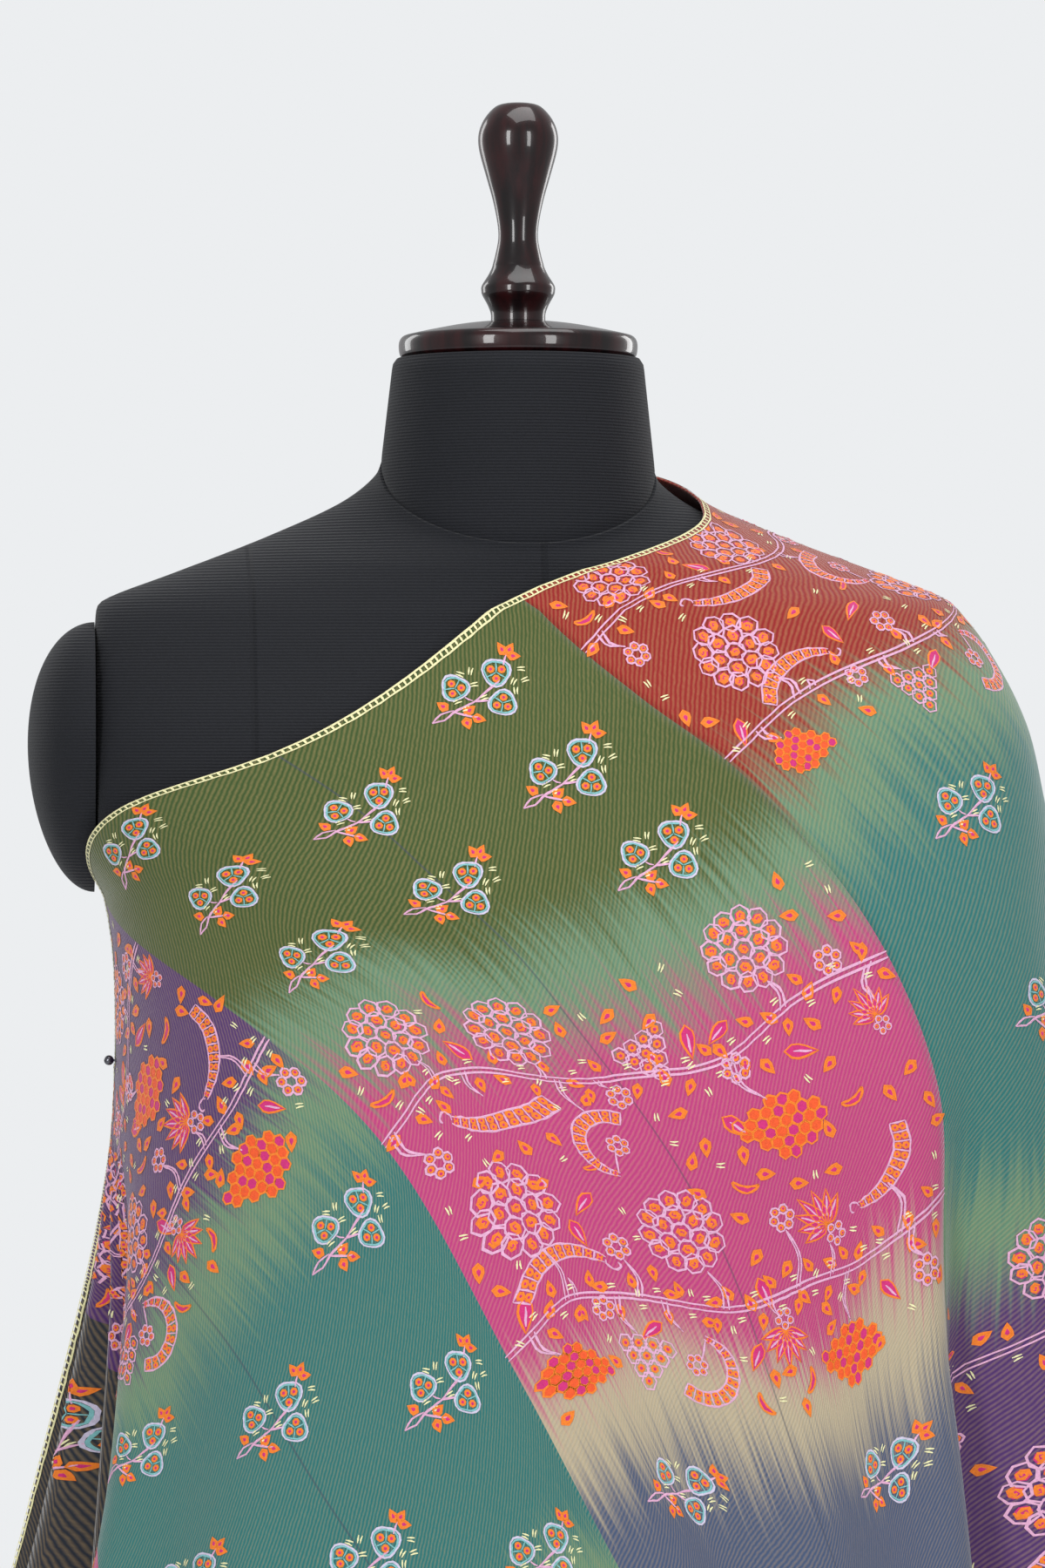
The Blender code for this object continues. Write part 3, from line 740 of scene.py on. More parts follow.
def grid_object(name, rings, finish, node):
    """A piece skinned through rings of points, closed by flat caps, that replaces one CAD node."""
    rings = np.asarray(rings)
    tall, wide = rings.shape[:2]
    faces = quads_of(tall, wide, wrap=True).tolist()
    faces.append(list(range(wide)))
    faces.append(list(range((tall - 1) * wide, tall * wide))[::-1])
    mesh = mesh_of(name, rings.reshape(-1, 3), faces)
    facing_out = bmesh.new()
    facing_out.from_mesh(mesh)
    bmesh.ops.recalc_face_normals(facing_out, faces=facing_out.faces)
    facing_out.to_mesh(mesh)
    facing_out.free()
    mesh.set_sharp_from_angle(angle=radians(35))
    made = new_object(name, mesh, finish)
    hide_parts(node)
    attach(made, BODY)
    return made


def turns(count):
    return np.linspace(pi, -pi, count, endpoint=False)


def circle(radius, around, height):
    """A level circle about the pole, which starts at the front."""
    return np.stack([radius * np.sin(around), -radius * np.cos(around), np.full(len(around), height)], -1)


def form_ring(around, height, inset=0.0):
    """The torso's outline at one height."""
    level = np.full(len(around), height)
    return place(around, level, form_radius(around, level) - inset)


def build_torso():
    """The padded torso with its two flat armholes, whose rims are eased over."""
    rings = []
    for height in np.concatenate([np.linspace(NECKLINE, 1.30, 46), np.linspace(1.297, TORSO_FOOT, 130)]):
        ring = form_ring(turns(220), height)
        over = np.maximum(np.abs(ring[:, 0]) - (ARM_PLATE - RIM), 0)
        eased_in = ARM_PLATE - RIM + RIM * (1 - np.exp(-over / RIM))
        ring[:, 0] = np.where(over > 0, np.sign(ring[:, 0]) * eased_in, ring[:, 0])
        rings.append(ring)
    grid_object("dress_form_torso", rings, torso_jersey, "form_torso")


def build_neck():
    """The neck, from the torso's neckline to a round top, tucked in a little at both ends."""
    low = form_ring(turns(160), NECKLINE + PIECE_GAP)
    high = circle(NECK_TOP_RADIUS, turns(160), NECK_TOP)
    rings = []
    for rise in np.linspace(1, 0, 24):
        ring = low + (high - low) * rise
        tuck = 0.0012 * np.exp(-rise / 0.03) + 0.0015 * np.exp(-(1 - rise) / 0.02)
        ring[:, :2] *= 1 - tuck / NECK_TOP_RADIUS
        rings.append(ring)
    grid_object("dress_form_neck", rings, plain_jersey, "form_neck")


def build_arm_cap(name, side):
    """A padded half egg on the flat of an armhole, with the sizes of its CAD node."""
    low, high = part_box(name)
    middle_y, middle_z = (low[1] + high[1]) / 2, (low[2] + high[2]) / 2
    reach_y, reach_z = (high[1] - low[1]) / 2, (high[2] - low[2]) / 2
    reach_x = high[0] - low[0]
    rings = []
    for rise in np.linspace(0.0, pi / 2 - 0.02, 30)[::-1]:
        around = turns(90)
        y, z = np.cos(rise) * np.cos(around), np.cos(rise) * np.sin(around)
        x = np.full(len(around), np.sin(rise))
        fuller = 1 + 0.10 * z
        spot = [side * (ARM_PLATE + PIECE_GAP + x * reach_x * 0.94 * fuller),
                middle_y + y * reach_y * fuller / 1.02, middle_z + z * reach_z]
        rings.append(np.stack(spot, -1)[::side])
    grid_object("dress_" + name, rings, plain_jersey, name)


def revolve(name, profile, height, finish, node, steps=110, fine=4):
    """A turned piece about the pole, through its profile of heights and radii."""
    run = np.arange(len(profile))
    smooth = eased(np.linspace(0, len(profile) - 1, fine * (len(profile) - 1) + 1), run, profile)
    rings = [circle(max(radius, 0.00005), turns(steps), height + rise) for rise, radius in smooth[::-1]]
    grid_object(name, rings, finish, node)


def build_board():
    """The board that closes the torso's foot, with its two edges rounded."""
    outline = form_ring(turns(160), TORSO_FOOT, inset=0.004)
    thick = BOARD_HIGH[2] - BOARD_LOW[2]
    edge = [(0.0, 0.002), (0.0006, 0.0006), (0.002, 0.0)]
    rings = []
    for drop, inset in edge + [(thick - drop, inset) for drop, inset in reversed(edge)]:
        ring = outline * [1, 1, 0] + [0, 0, BOARD_HIGH[2] - drop]
        ring[:, :2] -= unit(ring[:, :2]) * inset
        rings.append(ring)
    grid_object("dress_form_board", rings, wood, "form_board")


def build_stand():
    radius = (POLE_HIGH[0] - POLE_LOW[0]) / 2
    length = POLE_HIGH[2] - POLE_LOW[2]
    pole = [(drop, radius) for drop in (0.0, 0.01, length / 2, length - 0.01, length)]
    revolve("stand_pole_tube", pole, POLE_LOW[2], iron, "stand_pole", steps=48, fine=2)
    revolve("stand_round_base", BASE, BASE_LOW[2], iron, "stand_base", steps=140, fine=4)


def build_pin():
    """The round head of the pin at the gathered edges, with the stub of shank that enters the cloth."""
    middle, radius = (np.array(PIN_LOW) + PIN_HIGH) / 2, (PIN_HIGH[0] - PIN_LOW[0]) / 2
    rise = np.linspace(0.05, pi - 0.25, 14)
    profile = list(zip(-radius * np.cos(rise), radius * np.sin(rise)))
    profile += [(PIN_STUB, SHANK_RADIUS), (PIN_STUB, SHANK_RADIUS / 2)]
    around = turns(24)
    rings = []
    for out, wide in profile:
        rings.append(middle + np.stack([np.full(24, out), wide * np.cos(around), wide * np.sin(around)], -1))
    grid_object("pin_head", rings, steel, "shawl_pin")


class Stitches:
    """Embroidery drawn flat: complex points in millimetres with a lift, as triangles of one thread each."""

    def __init__(self):
        self.spots, self.anchors, self.lifts, self.faces, self.threads = [], [], [], [], []
        self.count = 0

    def add(self, spots, lifts, faces, threads, anchors=None):
        self.spots.append(np.asarray(spots, complex))
        self.anchors.append(np.array(self.spots[-1] if anchors is None else anchors, complex))
        self.lifts.append(np.asarray(lifts, float))
        self.faces.append(np.asarray(faces, int).reshape(-1, 3) + self.count)
        self.threads.append(np.broadcast_to(threads, len(self.faces[-1])))
        self.count += len(self.spots[-1])

    def line(self, path, thread, width=THREAD_WIDTH, closed=False):
        """A line of stitches along a path, a little uneven and pointed at its ends. A wide one is crowned."""
        path = np.asarray(path, complex)
        if closed:
            path = np.append(path, path[0])
        way = np.gradient(path)
        if closed:
            way[0] = way[-1] = way[0] + way[-1]
        side = 1j * way / np.maximum(np.abs(way), 1e-9)
        stitch = np.arange(len(path))
        wide = width / 2 * (1 + 0.22 * np.sin(2.6 * stitch + path.real))
        stray = 0.16 * width * np.sin(2.1 * stitch + 3 * path.imag / width)
        path = path + side * (stray if not closed else stray * (stitch % (len(path) - 1) > 0))
        if not closed:
            wide[0], wide[-1] = wide[0] * 0.5, wide[-1] * 0.5
        size = len(path)
        k = np.arange(size - 1)
        if width < FLAT_UNDER:
            spots = np.concatenate([path + side * wide, path - side * wide])
            lifts, rows = np.full(2 * size, 0.7 * THREAD_RISE), (0,)
        else:
            spots = np.concatenate([path + side * wide, path, path - side * wide])
            lifts, rows = np.repeat([0.0, THREAD_RISE, 0.0], size), (0, size)
        faces = []
        for row in rows:
            a, b, c, d = row + k, row + k + 1, row + size + k + 1, row + size + k
            faces += [np.stack([a, d, c], -1), np.stack([a, c, b], -1)]
        self.add(spots, lifts, np.concatenate(faces), thread)

    def patch(self, outline, thread, rise=FILL_RISE):
        """A filled shape of satin stitch, crowned in the middle."""
        outline = np.asarray(outline, complex)
        size = len(outline)
        k = np.arange(size)
        spots = np.append(outline, outline.mean())
        lifts = np.append(np.full(size, rise * 0.4), rise)
        self.add(spots, lifts, np.stack([k, np.full(size, size), (k + 1) % size], -1), thread)

    def put(self, motif, at, turn=1.0, mirror=False, whole=False):
        """A copy of another drawing, turned and scaled by a complex number. One put down whole keeps its
        own size where the draped cloth is gathered or spread."""
        spots, anchors, lifts, faces, threads = motif.joined()
        placed, held = (at + turn * (s.conj() if mirror else s) for s in (spots, anchors))
        held = np.full(len(placed), at, complex) if whole else held
        self.add(placed, lifts, faces[:, ::-1] if mirror else faces, threads, held)

    def heart(self, spot, radius, core, start, sides=6, off=0.0):
        """An orange cell with a magenta core."""
        self.patch(spot + ring(radius, sides, start), ORANGE, HEART_RISE)
        self.patch(spot + off + ring(core, 5, start), MAGENTA, CORE_RISE)

    def joined(self):
        kept = self.spots, self.anchors, self.lifts, self.faces, self.threads
        return [np.concatenate(part) for part in kept]


THREADS = {
    "rose_white": (226, 170, 204),
    "cyan": (124, 188, 190),
    "lavender": (206, 198, 222),
    "orange": (250, 126, 14),
    "vermilion": (242, 84, 20),
    "magenta": (206, 26, 116),
    "cream": (238, 234, 180),
}
ROSE, CYAN, LAVENDER, ORANGE, VERMILION, MAGENTA, CREAM = range(len(THREADS))


def curve(points, step=2.8):
    """A smooth path through a few points, with a stitch every few millimetres."""
    points = np.asarray(points, complex)
    run = np.concatenate([[0], np.cumsum(np.abs(np.diff(points)))])
    count = max(3, round(run[-1] / step) + 1)
    flat = eased(np.linspace(0, run[-1], count), run, np.stack([points.real, points.imag], -1))
    return flat[:, 0] + 1j * flat[:, 1]


def ring(radius, count, start=0.0, wobble=0.0):
    angle = start + np.arange(count) * 2 * pi / count
    return radius * (1 + wobble * np.sin(2.3 * angle + 9 * start)) * np.exp(1j * angle)


def leaf_outline(length, width, count=10, tip=0.6):
    """A pointed leaf from 0 along the real axis."""
    half = np.linspace(0, 1, count // 2 + 1)
    belly = np.sin(pi * half**tip) * width / 2
    upper = length * half + 1j * belly
    return np.concatenate([upper, upper[-2:0:-1].conj()])


def leaf(length, width, vein=False):
    made = Stitches()
    outline = leaf_outline(length, width)
    made.patch(outline, MAGENTA)
    made.line(outline, ORANGE, 1.05, closed=True)
    if vein:
        made.line(np.linspace(0.25, 0.8, 4) * length, ROSE, 0.9)
    return made


def sprig_leaf(length=6.4, width=4.2):
    """A small leaf worked solid in orange round a magenta heart."""
    made = Stitches()
    outline = leaf_outline(length, width, 8)
    made.patch(outline, ORANGE, 0.00025)
    made.line(outline, ORANGE, 0.8, closed=True)
    made.patch(0.28 * length + (outline * 0.42), MAGENTA, 0.00045)
    return made


def sickle(length=13.0, bend=0.9):
    made = Stitches()
    angle = np.linspace(-bend, bend, 8)
    radius = length / (2 * bend)
    spine = radius * (np.exp(1j * angle) - 1)
    wide = 1.7 * np.sin(np.linspace(0.25, pi - 0.25, 8))
    outline = np.concatenate([spine * (1 + wide / radius) + wide * 0.6, (spine - wide)[::-1]])
    made.patch(outline, MAGENTA)
    made.line(outline, ORANGE, 1.0, closed=True)
    return made


def tuft():
    """Two short cream stitches side by side."""
    made = Stitches()
    for side, slant in ((0.7, 0.10), (-0.7, -0.10)):
        made.line(np.linspace(-1.9, 1.9, 3) * np.exp(1j * slant) + 1j * side, CREAM, 0.75)
    return made


def rosette(radius):
    """A cell's heart: an orange whorl over magenta."""
    made = Stitches()
    made.patch(ring(radius, 7), MAGENTA, 0.0001)
    angle = np.linspace(0, 3.3 * pi, 11)
    whorl = radius * np.linspace(0.98, 0.22, 11) * np.exp(1j * angle)
    made.line(whorl, ORANGE, radius * 0.58)
    return made


def lattice(rows, pitch):
    """Centres of close-packed cells: each row is its first place and its number of cells."""
    spots = []
    for level, (first, count) in enumerate(rows):
        for k in range(count):
            spots.append((first + k) * pitch + 1j * level * pitch * 0.866)
    return np.array(spots)


def cluster():
    """A round head of nineteen cells, each with a whorl."""
    made = Stitches()
    pitch = 8.6
    spots = lattice([(0, 3), (-0.5, 4), (-1, 5), (-0.5, 4), (0, 3)], pitch)
    spots = spots - spots.mean()
    outer = np.abs(spots) > 1.5 * pitch
    spots[outer] *= 1.86 * pitch / np.abs(spots[outer])
    for k, spot in enumerate(spots):
        spot = spot * (1 + 0.02 * np.sin(5.1 * k)) * np.exp(0.03j * np.sin(2.2 * k))
        made.put(rosette(2.7 + 0.25 * np.sin(3.3 * k)), spot, np.exp(1j * 1.9 * k))
        made.line(spot + ring(4.95, 7, pi / 6 + 0.2 * k, 0.05), ROSE, 1.0, closed=True)
    return made


def cone():
    """A pine cone of small orange cells, filled in turn with red and magenta."""
    made = Stitches()
    rows = [(1.5, 3), (0, 6), (-0.5, 8), (0, 7), (0.5, 5), (2, 2)]
    spots = lattice(rows, 5.2)
    spots = spots - spots.mean()
    for k, spot in enumerate(spots):
        outline = spot + ring(2.95, 6, pi / 6 + 0.1 * np.sin(k), 0.05)
        made.patch(outline, (VERMILION, MAGENTA, VERMILION, VERMILION, MAGENTA)[k % 5])
        made.line(outline, ORANGE, 1.0, closed=True)
    return made


def band(spine, start=3.2, end=1.0, hook=True):
    """A curved band of cells between two lines, with a curled end."""
    made = Stitches()
    path = curve(spine, 5.2)
    way = np.gradient(path)
    side = 1j * way / np.abs(way)
    wide = np.linspace(start, end, len(path)) + 1.2 * np.sin(np.linspace(0, pi, len(path)))
    upper, lower = path + side * wide, path - side * wide
    made.line(curve(upper), ROSE)
    made.line(curve(lower), ROSE)
    for k in range(len(path) - 1):
        made.line([upper[k], path[k], lower[k]], ROSE, 0.95)
        middle = (path[k] + path[k + 1]) / 2
        for share in (0.48, -0.48):
            made.heart(middle + share * side[k] * wide[k], 1.0 + 0.28 * wide[k], 0.8, k)
    if hook:
        angle = np.linspace(0, 4.2, 9)
        curl = 1 - np.exp(1j * angle) * (1 - angle / 9)
        made.line(path[-1] + way[-1] / abs(way[-1]) * 4 * curl, ROSE)
    return made


def caterpillar():
    return band([-26 + 4j, -14 + 8j, 0 + 6j, 14 - 2j, 22 - 12j], 4.0, 1.6)


def crescent():
    """A band bent round a small flower."""
    made = Stitches()
    angle = np.linspace(-2.5, 1.1, 9)
    made.put(band(17 * np.exp(1j * angle), 3.4, 1.0, hook=False), 0)
    made.put(flower(), -2 + 1j, 0.9)
    made.line([2 + 4j, 5 + 9j, 8 + 14j], ROSE, 1.0)
    return made


def flower(petals=6):
    made = Stitches()
    for k in range(petals):
        away = np.exp(2j * pi * k / petals)
        made.line(away * 4.4 + ring(2.3, 7, k), ROSE, 0.95, closed=True)
        made.heart(away * 4.4, 1.6, 0.8, k, off=away * 0.2)
    return made


def bunch():
    """A hanging triangle of lozenge cells."""
    made = Stitches()
    spots = lattice([(0, 4), (0.5, 3), (1, 2), (1.5, 1)], 7.4)
    cell = ring(4.171, 6)
    for k, spot in enumerate(spots - spots.mean()):
        made.line(spot + cell.real + 1.12j * cell.imag, ROSE, 1.0, closed=True)
        made.heart(spot, 2.3, 1.1, k)
    return made


def lotus():
    """A fan of seven leaves."""
    made = Stitches()
    for k in range(-3, 4):
        made.put(leaf(19 - 1.6 * abs(k), 5.4, vein=True), 0, np.exp(0.42j * k))
    made.put(flower(5), -6, 0.8)
    return made


def lobe():
    """A rounded pod: white and cyan outlines, and three hearts between cyan partitions."""
    made = Stitches()
    angle = np.arange(18) * 2 * pi / 18
    shape = np.exp(1j * angle) * (1 + 0.09 * np.cos(3 * angle))
    made.line(6.5 * shape, LAVENDER, 0.95, closed=True)
    made.line(5.5 * shape, CYAN, 0.85, closed=True)
    for k in range(3):
        away = np.exp(1j * (2 * pi * k / 3 + pi / 3))
        made.line([0.2 * away, 2.4 * away, 4.8 * away], CYAN, 0.75)
        made.heart(3.0 * np.exp(2j * pi * k / 3), 1.95, 0.95, k, sides=7)
    return made


def buti():
    """A sprig about five centimetres long, its base at the left and its tip at the right."""
    made = Stitches()
    stems = [
        (1.1, [-25, -19 + 1.6j, -13 + 0.6j, -4 + 1.2j, 6 + 0.2j, 14 - 1j]),
        (1.1, [-25, -19 - 1.8j, -13 - 0.4j]), (1.0, [-3 + 1j, 1 + 3j, 4 + 5j]),
        (1.0, [-3 + 0.5j, -5 - 3j]), (1.0, [-14 + 0j, -10 + 5j, -6 + 9j]),
    ]
    for width, stem in stems:
        made.line(curve(stem), ROSE, width)
    for spot, size, slant in ((-6 - 9.5j, 0.98, 0.5), (8 + 9.5j, 1, 1.3), (15 - 5j, 1.05, 2.2)):
        made.put(lobe(), spot, size * np.exp(1j * slant))
    for slant in (-1.15, -0.05, 1.0):
        made.put(sprig_leaf(), 24 - 9j + 0.6 * np.exp(1j * (slant - 0.3)), np.exp(1j * (slant - 0.35)))
    made.line([20 - 6j, 22.5 - 8j, 24.5 - 9.5j], ROSE, 1.0)
    made.put(sprig_leaf(6.0, 4.6), -15 - 2.2j, np.exp(-1.9j))
    for spot, slant in ((-10 + 4j, -0.1), (-8 + 7.5j, 0.9), (-11 + 6j, 1.9)):
        made.put(sprig_leaf(6.2, 4.6), spot, np.exp(1j * slant))
    tufts = [(0 - 14j, 0.9), (2.5 - 6j, 0.4), (5 - 12.5j, -0.8), (26 + 0.5j, 0.6), (24 + 6j, 0.2)]
    tufts += [(2.5 + 2.2j, 0.2), (17 + 8j, -1.0), (-9 - 3.2j, 0.1), (-8 + 2.2j, 0.3), (19 + 3.6j, -0.5)]
    for spot, slant in tufts:
        made.put(tuft(), spot, np.exp(1j * slant))
    return made


# The least height of a cell that a trellis isn't squeezed into, and the places of its small scattered leaves
JAAL_TALL = 215
SCATTER_ALONG, SCATTER_ACROSS = range(-119, 125, 14), range(-98, 100, 14)
# What a jaal cell holds: drawing, then where it lies in the cell in millimetres, its turn in degrees and
# its size. The first number runs along the two branches, and the second across them.
JAAL = [
    ("cluster", -82, -88, 0, 0.92), ("cluster", 30, -86, 20, 1.0), ("cluster", 88, -92, 10, 0.95),
    ("cluster", 12, 20, 35, 1.0), ("cluster", 90, 8, 50, 1.05),
    ("cone", -58, -14, -20, 1.0), ("cone", -66, 96, -10, 1.0), ("cone", 104, 86, 160, 0.8),
    ("caterpillar", 66, -38, 15, 1.0), ("caterpillar", 84, 40, 200, 0.9), ("caterpillar", -96, 30, 60, 0.8),
    ("crescent", 20, -24, 20, 0.95), ("crescent", 32, 92, 190, 0.95),
    ("bunch", -22, -70, 10, 0.85), ("bunch", 60, 92, -15, 0.9),
    ("lotus", -62, 36, -60, 1.0), ("lotus", -20, 70, 80, 0.9), ("lotus", -112, -30, -80, 0.8),
    ("flower", -106, -62, 0, 1.0), ("flower", -52, -46, 0, 1.0), ("flower", 48, 36, 30, 1.0),
    ("flower", -112, 84, 15, 1.1), ("flower", 112, -30, 0, 1.0), ("flower", 2, -52, 20, 0.9),
    ("leaf", -44, -74, 70, 1.0), ("leaf", -34, -30, 120, 1.0), ("leaf", 58, -66, -60, 1.0),
    ("leaf", 46, 8, 40, 1.0), ("leaf", -14, 44, 100, 1.0), ("leaf", 110, 44, 60, 1.0),
    ("sickle", -26, 4, 60, 1.0), ("sickle", 54, -102, 10, 1.0), ("sickle", -92, -4, 100, 1.0),
    ("sickle", -30, 96, 150, 1.0), ("sickle", 114, -68, 80, 1.0), ("sickle", 6, 104, 30, 1.0),
    ("leaf", -60, -66, 20, 0.9), ("leaf", -74, -40, 150, 1.0), ("leaf", 64, 22, 100, 0.9),
    ("leaf", 44, 74, 30, 1.0), ("leaf", -4, 74, 60, 0.9), ("leaf", -90, 76, 120, 0.9),
    ("flower", -38, 22, 0, 0.9), ("flower", 72, 66, 0, 0.9), ("sickle", 36, -8, 120, 0.9),
]
# How far from its middle a drawing's own stem starts
STEMMED = {"cluster": 19, "bunch": 12, "cone": 13, "lotus": 8, "flower": 6, "crescent": 17, "caterpillar": 8}
# How far from its middle a drawing keeps the small scattered leaves away
ROOM = {"cluster": 23, "cone": 20, "caterpillar": 21, "crescent": 20, "bunch": 17, "lotus": 17, "flower": 11,
        "leaf": 11, "sickle": 9}
BRANCHES = [
    [-125 - 50j, -90 - 56j, -50 - 52j, -8 - 62j, 40 - 58j, 84 - 62j, 125 - 54j],
    [-125 + 58j, -84 + 62j, -40 + 54j, 10 + 58j, 56 + 62j, 96 + 56j, 125 + 62j],
]


def jaal(drawings, tall):
    """A trellis of two branches with large flowers, fitted to a cell this many millimetres tall."""
    made = Stitches()
    squeeze = min(1.0, tall / JAAL_TALL)
    branches = [np.real(branch) + 1j * np.imag(branch) * squeeze for branch in BRANCHES]
    for branch in branches:
        middle = curve(branch, 4.0)
        way = np.gradient(middle)
        side = 1j * way / np.abs(way)
        made.line(middle + side * 1.25, ROSE, 1.0)
        made.line(middle - side * 1.25, ROSE, 1.0)
        for k in range(2, len(middle) - 2, 3):
            hand = 1 if k % 2 else -1
            lean = 0.9 * hand * side[k] * np.exp(0.6j * np.sin(k))
            made.put(drawings["sprig_leaf"], middle[k] + hand * side[k] * 4.4, lean, whole=True)
            away = middle[k] - hand * side[k] * 5.0
            made.put(drawings["tuft"], away, np.exp(1j * np.angle(way[k])), whole=True)
    reached = np.concatenate([curve(branch, 6) for branch in branches])
    for name, x, y, degrees, size in JAAL:
        centre = x + 1j * y * squeeze
        turn = size * (0.72 + 0.28 * squeeze) * np.exp(1j * radians(degrees))
        made.put(drawings[name], centre, turn, whole=True)
        nearest = reached[np.abs(reached - centre).argmin()]
        reach = nearest - centre
        if name in STEMMED and abs(reach) > STEMMED[name] + 3:
            start = centre + reach / abs(reach) * STEMMED[name] * size
            bow = (start + nearest) / 2 + 0.18j * (nearest - start)
            made.line(curve([start, bow, nearest], 3), ROSE, 0.95)
            made.line(curve([start * 0.97 + nearest * 0.03, bow + 1.6, nearest + 2.4], 3), ROSE, 0.85)
    for x in SCATTER_ALONG:
        for y in SCATTER_ACROSS:
            spot = x + 4 * np.sin(0.9 * y) + 1j * (y + 4 * np.sin(1.7 * x)) * squeeze
            if all(abs(spot - (a + 1j * b * squeeze)) > ROOM[name] for name, a, b, _, _ in JAAL):
                drawing = drawings["sprig_leaf" if (x * 7 + y) % 5 < 3 else "tuft"]
                made.put(drawing, spot, np.exp(1j * (x + y)), whole=True)
    return made


def strip_cells():
    """Each dyed length: where its strip starts, where it begins and ends, and whether it holds a jaal."""
    starts = [strip[0] for strip in DYES[1:]] + [DYES[-1][0] + STRIP_WIDTH]
    for index, (start, *lengths) in enumerate(DYES):
        left = starts[index] - STRIP_WIDTH if index == 0 else start
        top = 0.0
        for row, (end, _) in enumerate(lengths):
            yield left, starts[index], top, end, (index + row) % 2 == 0
            top = end


def draw_embroidery():
    """All the motifs of the shawl on the flat pattern, in metres, with real part along the top edge."""
    large = (cluster, cone, caterpillar, crescent, bunch, lotus, flower)
    drawings = {draw.__name__: draw() for draw in large}
    drawings |= {"leaf": leaf(15, 6, vein=True), "sickle": sickle()}
    drawings |= {"sprig_leaf": sprig_leaf(8.2, 4.8), "tuft": tuft()}
    sprig = buti()
    made = Stitches()
    for left, right, top, end, trellis in strip_cells():
        middle, wide = (left + right) / 2, (right - left) / STRIP_WIDTH
        if trellis:
            flip = round(middle * 8) % 2 == 1
            cell = jaal(drawings, (end - top) * 1000)
            made.put(cell, middle + 1j * (top + end) / 2, (-0.001 if flip else 0.001) * wide, mirror=flip)
            continue
        apart, inset = (0.055, 0.025) if end < 0.2 else (0.092, 0.048)
        for column in (-1, 0, 1):
            first = top + inset + (0 if column else apart / 2)
            for row in np.arange(first, end - 0.012, apart):
                spot = middle + column * 0.0765 * wide
                lean = np.exp(0.12j * np.sin(9 * row + column))
                made.put(sprig, spot + 1j * row, -0.00092 * lean, mirror=True, whole=True)
    return made


def kept_to_size(spots, anchors):
    """The spots of each drawing that was put down whole, drawn in or out about its anchor so that it
    measures on the draped cloth what it does on paper."""
    places, index = np.unique(anchors[spots != anchors], return_inverse=True)
    along, down = places.real, np.clip(places.imag, EDGE_KEPT, SHAWL_WIDTH - EDGE_KEPT)
    step, flat = 0.004, np.zeros(len(places))
    wide = (on_cloth(along + step, down, flat) - on_cloth(along - step, down, flat)) / (2 * step)
    tall = (on_cloth(along, down + step, flat) - on_cloth(along, down - step, flat)) / (2 * step)
    metric = np.array([[(first * second).sum(axis=-1) for first in (wide, tall)] for second in (wide, tall)])
    stretch, way = np.linalg.eigh(np.moveaxis(metric, -1, 0))
    fit = np.einsum("nij,nj,nkj->nik", way, np.clip(stretch, LEAST_STRETCH, MOST_STRETCH) ** -0.5, way)[index]
    fitted = spots.copy()
    moved = spots != anchors
    off = (spots - anchors)[moved]
    x = fit[:, 0, 0] * off.real + fit[:, 0, 1] * off.imag
    y = fit[:, 1, 0] * off.real + fit[:, 1, 1] * off.imag
    fitted[moved] = anchors[moved] + x + 1j * y
    return fitted


def build_embroidery(stitches):
    """The embroidery laid over the cloth, one object for each stretch of it."""
    spots, anchors, lifts, faces, threads = stitches.joined()
    spots = kept_to_size(spots, anchors)
    along, down = spots.real, spots.imag
    middle = spots[faces].mean(axis=1)
    inside = (middle.imag > EDGE_KEPT) & (middle.imag < SHAWL_WIDTH - EDGE_KEPT)
    inside &= (middle.real < FRONT_END - EDGE_KEPT) & (middle.real > EDGE_KEPT - BACK_END)
    second = LINES["second"][0]
    for name, low, high in (("front", second, 9), ("shoulder", -second, second), ("back", -9, -second)):
        kept = inside & (middle.real >= low) & (middle.real < high)
        used, index = np.unique(faces[kept], return_inverse=True)
        points = on_cloth(along[used], np.clip(down[used], 0, SHAWL_WIDTH), lifts[used] + FLOSS_LIFT)
        mesh = mesh_of("embroidery_" + name, points, index.reshape(-1, 3))
        made = new_object("embroidery_" + name, mesh, *flosses)
        mesh.polygons.foreach_set("material_index", threads[kept].astype(np.int32))
        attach(made, BODY)


def draw_overcast():
    """Whip stitches over the top edge, crossed by a line of the same yarn along it."""
    made = Stitches()
    for place in np.arange(-BACK_END + 0.002, FRONT_END - 0.002, 0.0028):
        made.line(place + np.array([-0.4 - 0.2j, 0.0 + 1.5j, 0.4 + 3.2j]) * 0.001, 0, 0.95e-3)
    edge = np.arange(-BACK_END, FRONT_END, 0.004)
    made.line(edge + 0.0004j, 0, 0.9e-3)
    made.line(edge + 0.0030j, 0, 0.7e-3)
    return made


def build_overcast():
    spots, _, lifts, faces, _ = draw_overcast().joined()
    points = on_cloth(spots.real, np.maximum(spots.imag, 0), lifts + YARN_LIFT)
    made = new_object("top_edge_overcast", mesh_of("top_edge_overcast", points, faces), edge_yarn)
    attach(made, BODY)


def aim(thing, target):
    """Turns a lamp or camera so that it looks at a point."""
    x, y, z = (t - p for t, p in zip(target, thing.location))
    across = np.hypot(x, y)
    thing.rotation_euler = (pi / 2 + np.arctan2(z, across), 0, np.arctan2(-x, y))


def softbox(name, spot, target, size, power):
    lamp = bpy.data.lights.new(name, "AREA")
    lamp.shape = "RECTANGLE"
    lamp.size, lamp.size_y = size
    lamp.energy = power
    made = bpy.data.objects.new(name, lamp)
    bpy.context.scene.collection.objects.link(made)
    made.location = spot
    aim(made, target)


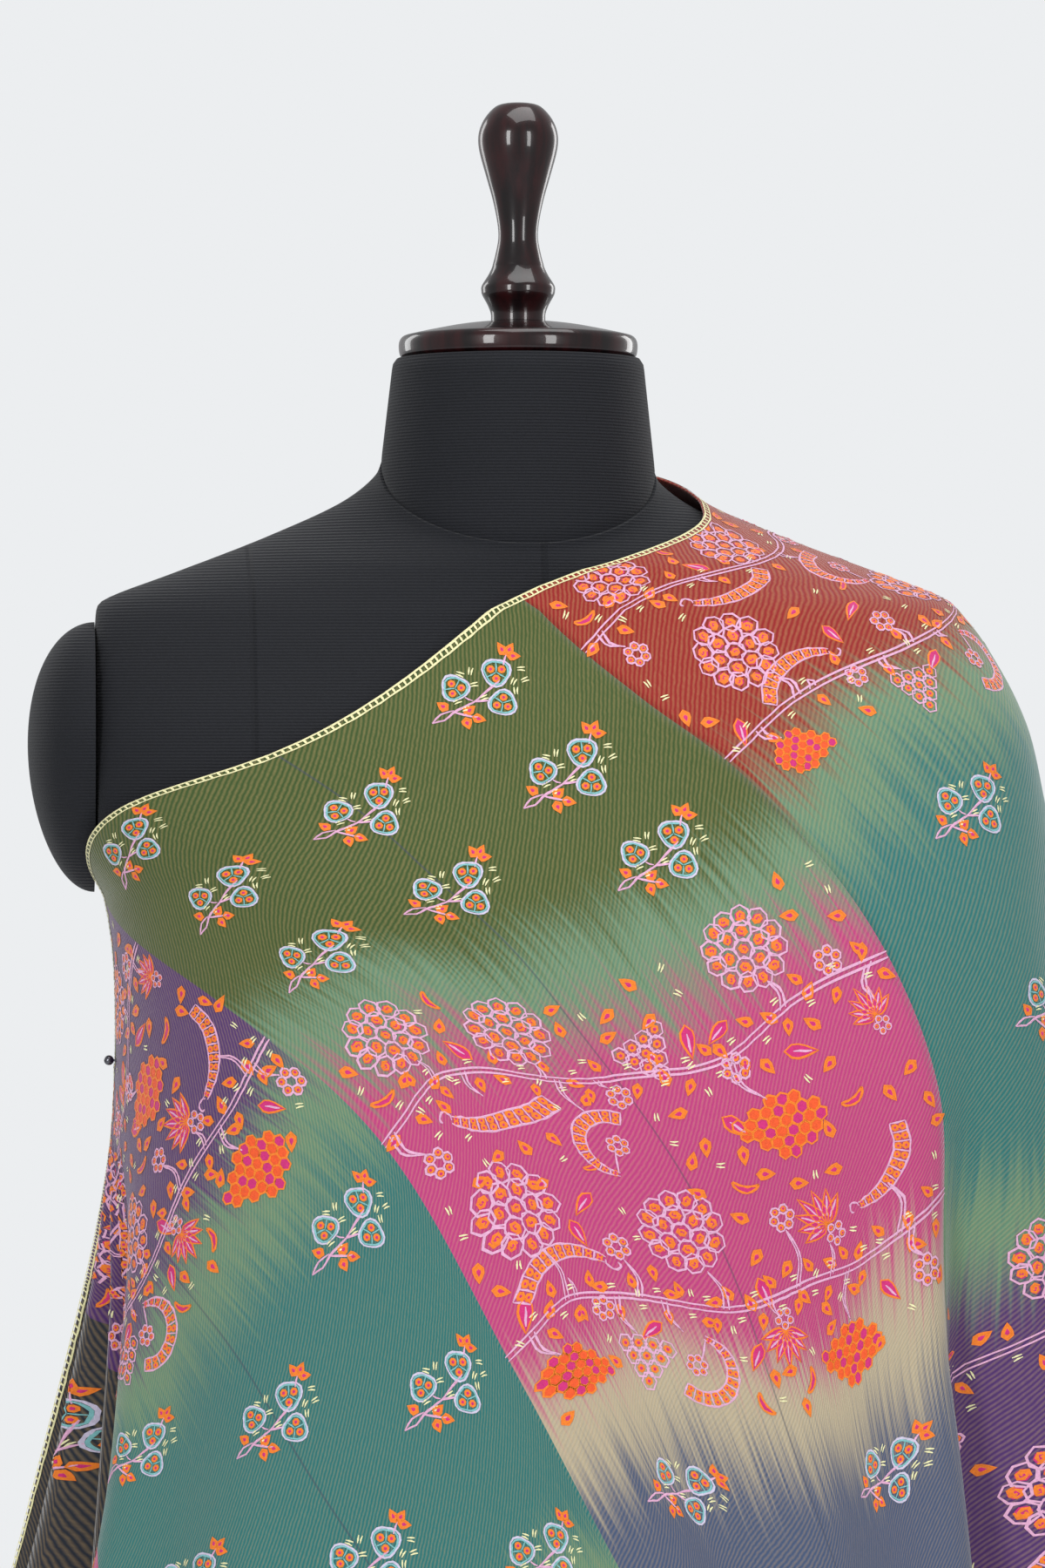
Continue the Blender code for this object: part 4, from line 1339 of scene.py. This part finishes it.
def build_studio():
    """A pale room: a backdrop that only the camera sees, softer light round the object, and a paper floor."""
    scene = bpy.context.scene
    scene.view_settings.view_transform = "Standard"
    world = bpy.data.worlds.new("pale_studio")
    scene.world = world
    world.use_nodes = True
    nodes, links = world.node_tree.nodes, world.node_tree.links
    backdrop, ambient = nodes["Background"], nodes.new("ShaderNodeBackground")
    for background, strength in ((backdrop, 1.0), (ambient, AMBIENT)):
        background.inputs["Color"].default_value = (*linear(*PAPER), 1)
        background.inputs["Strength"].default_value = strength
    seen = nodes.new("ShaderNodeLightPath")
    joined = nodes.new("ShaderNodeMixShader")
    links.new(seen.outputs["Is Camera Ray"], joined.inputs[0])
    links.new(ambient.outputs[0], joined.inputs[1])
    links.new(backdrop.outputs[0], joined.inputs[2])
    links.new(joined.outputs[0], nodes["World Output"].inputs[0])

    around = np.linspace(0, 2 * pi, 96, endpoint=False)
    ring = np.stack([FLOOR_RADIUS * np.cos(around), FLOOR_RADIUS * np.sin(around), around * 0 - 0.0005], -1)
    paper = speckled_finish("studio_paper", 3, (226, 228, 230), PAPER, Roughness=0.9)
    floor = new_object("studio_floor", mesh_of("studio_floor", ring, [list(range(96))]), paper)

    focus = (0.0, 0.0, 1.15)
    softbox("key_left", (-1.5, -2.3, 1.75), focus, (0.5, 1.7), 34)
    softbox("key_right", (1.25, -2.5, 1.65), focus, (0.5, 1.7), 26)
    softbox("top_light", (0.2, -0.4, 3.0), focus, (1.6, 1.2), 22)
    softbox("back_left", (-1.6, 1.8, 1.9), focus, (0.6, 1.6), 10)
    softbox("back_right", (1.8, 1.6, 1.7), focus, (0.6, 1.6), 12)


def build_camera():
    """A long lens, level with the cloth's chest, a little to the form's right."""
    lens = bpy.data.cameras.new("product_camera")
    lens.sensor_fit = "VERTICAL"
    lens.sensor_height = lens.sensor_width = 36
    lens.lens = 36 * CAMERA_DISTANCE / FRAME_TALL
    made = bpy.data.objects.new("product_camera", lens)
    bpy.context.scene.collection.objects.link(made)
    turn = radians(CAMERA_TURN)
    made.location = (CAMERA_SHIFT * cos(turn) - CAMERA_DISTANCE * sin(turn),
                     -CAMERA_SHIFT * sin(turn) - CAMERA_DISTANCE * cos(turn), CAMERA_HEIGHT)
    made.rotation_euler = (pi / 2, 0, -turn)
    bpy.context.scene.camera = made


build_camera()
build_studio()

cashmere = cashmere_finish()
torso_jersey = jersey_finish("ribbed_jersey", SEAMS)
plain_jersey = jersey_finish("ribbed_jersey_plain", [])
wood, iron = wood_finish(), iron_finish()
steel = speckled_finish("pin_steel", 900, (70, 70, 76), (130, 130, 136), Roughness=0.25, Metallic=1.0)

build_torso()
build_neck()
build_arm_cap("form_arm_cap_left", 1)
build_arm_cap("form_arm_cap_right", -1)
revolve("turned_neck_cap", NECK_CAP, CAP_LOW[2], wood, "neck_cap")
revolve("turned_knob", KNOB, KNOB_FOOT, wood, "knob")
build_board()
build_stand()
build_pin()

second = LINES["second"][0]
front = build_cloth("shawl_front_cloth", second, EDGE, "shawl_front", "shawl_fall_front")
shoulder = build_cloth("shawl_shoulder_cloth", -second, second, "shawl_shoulder")
back = build_cloth("shawl_back_cloth", -EDGE, -second, "shawl_back", "shawl_fall_back")
flosses = [thread_finish("floss_" + name, linear(*colour)) for name, colour in THREADS.items()]
edge_yarn = thread_finish("edge_yarn", linear(236, 230, 176))
build_embroidery(draw_embroidery())
build_overcast()
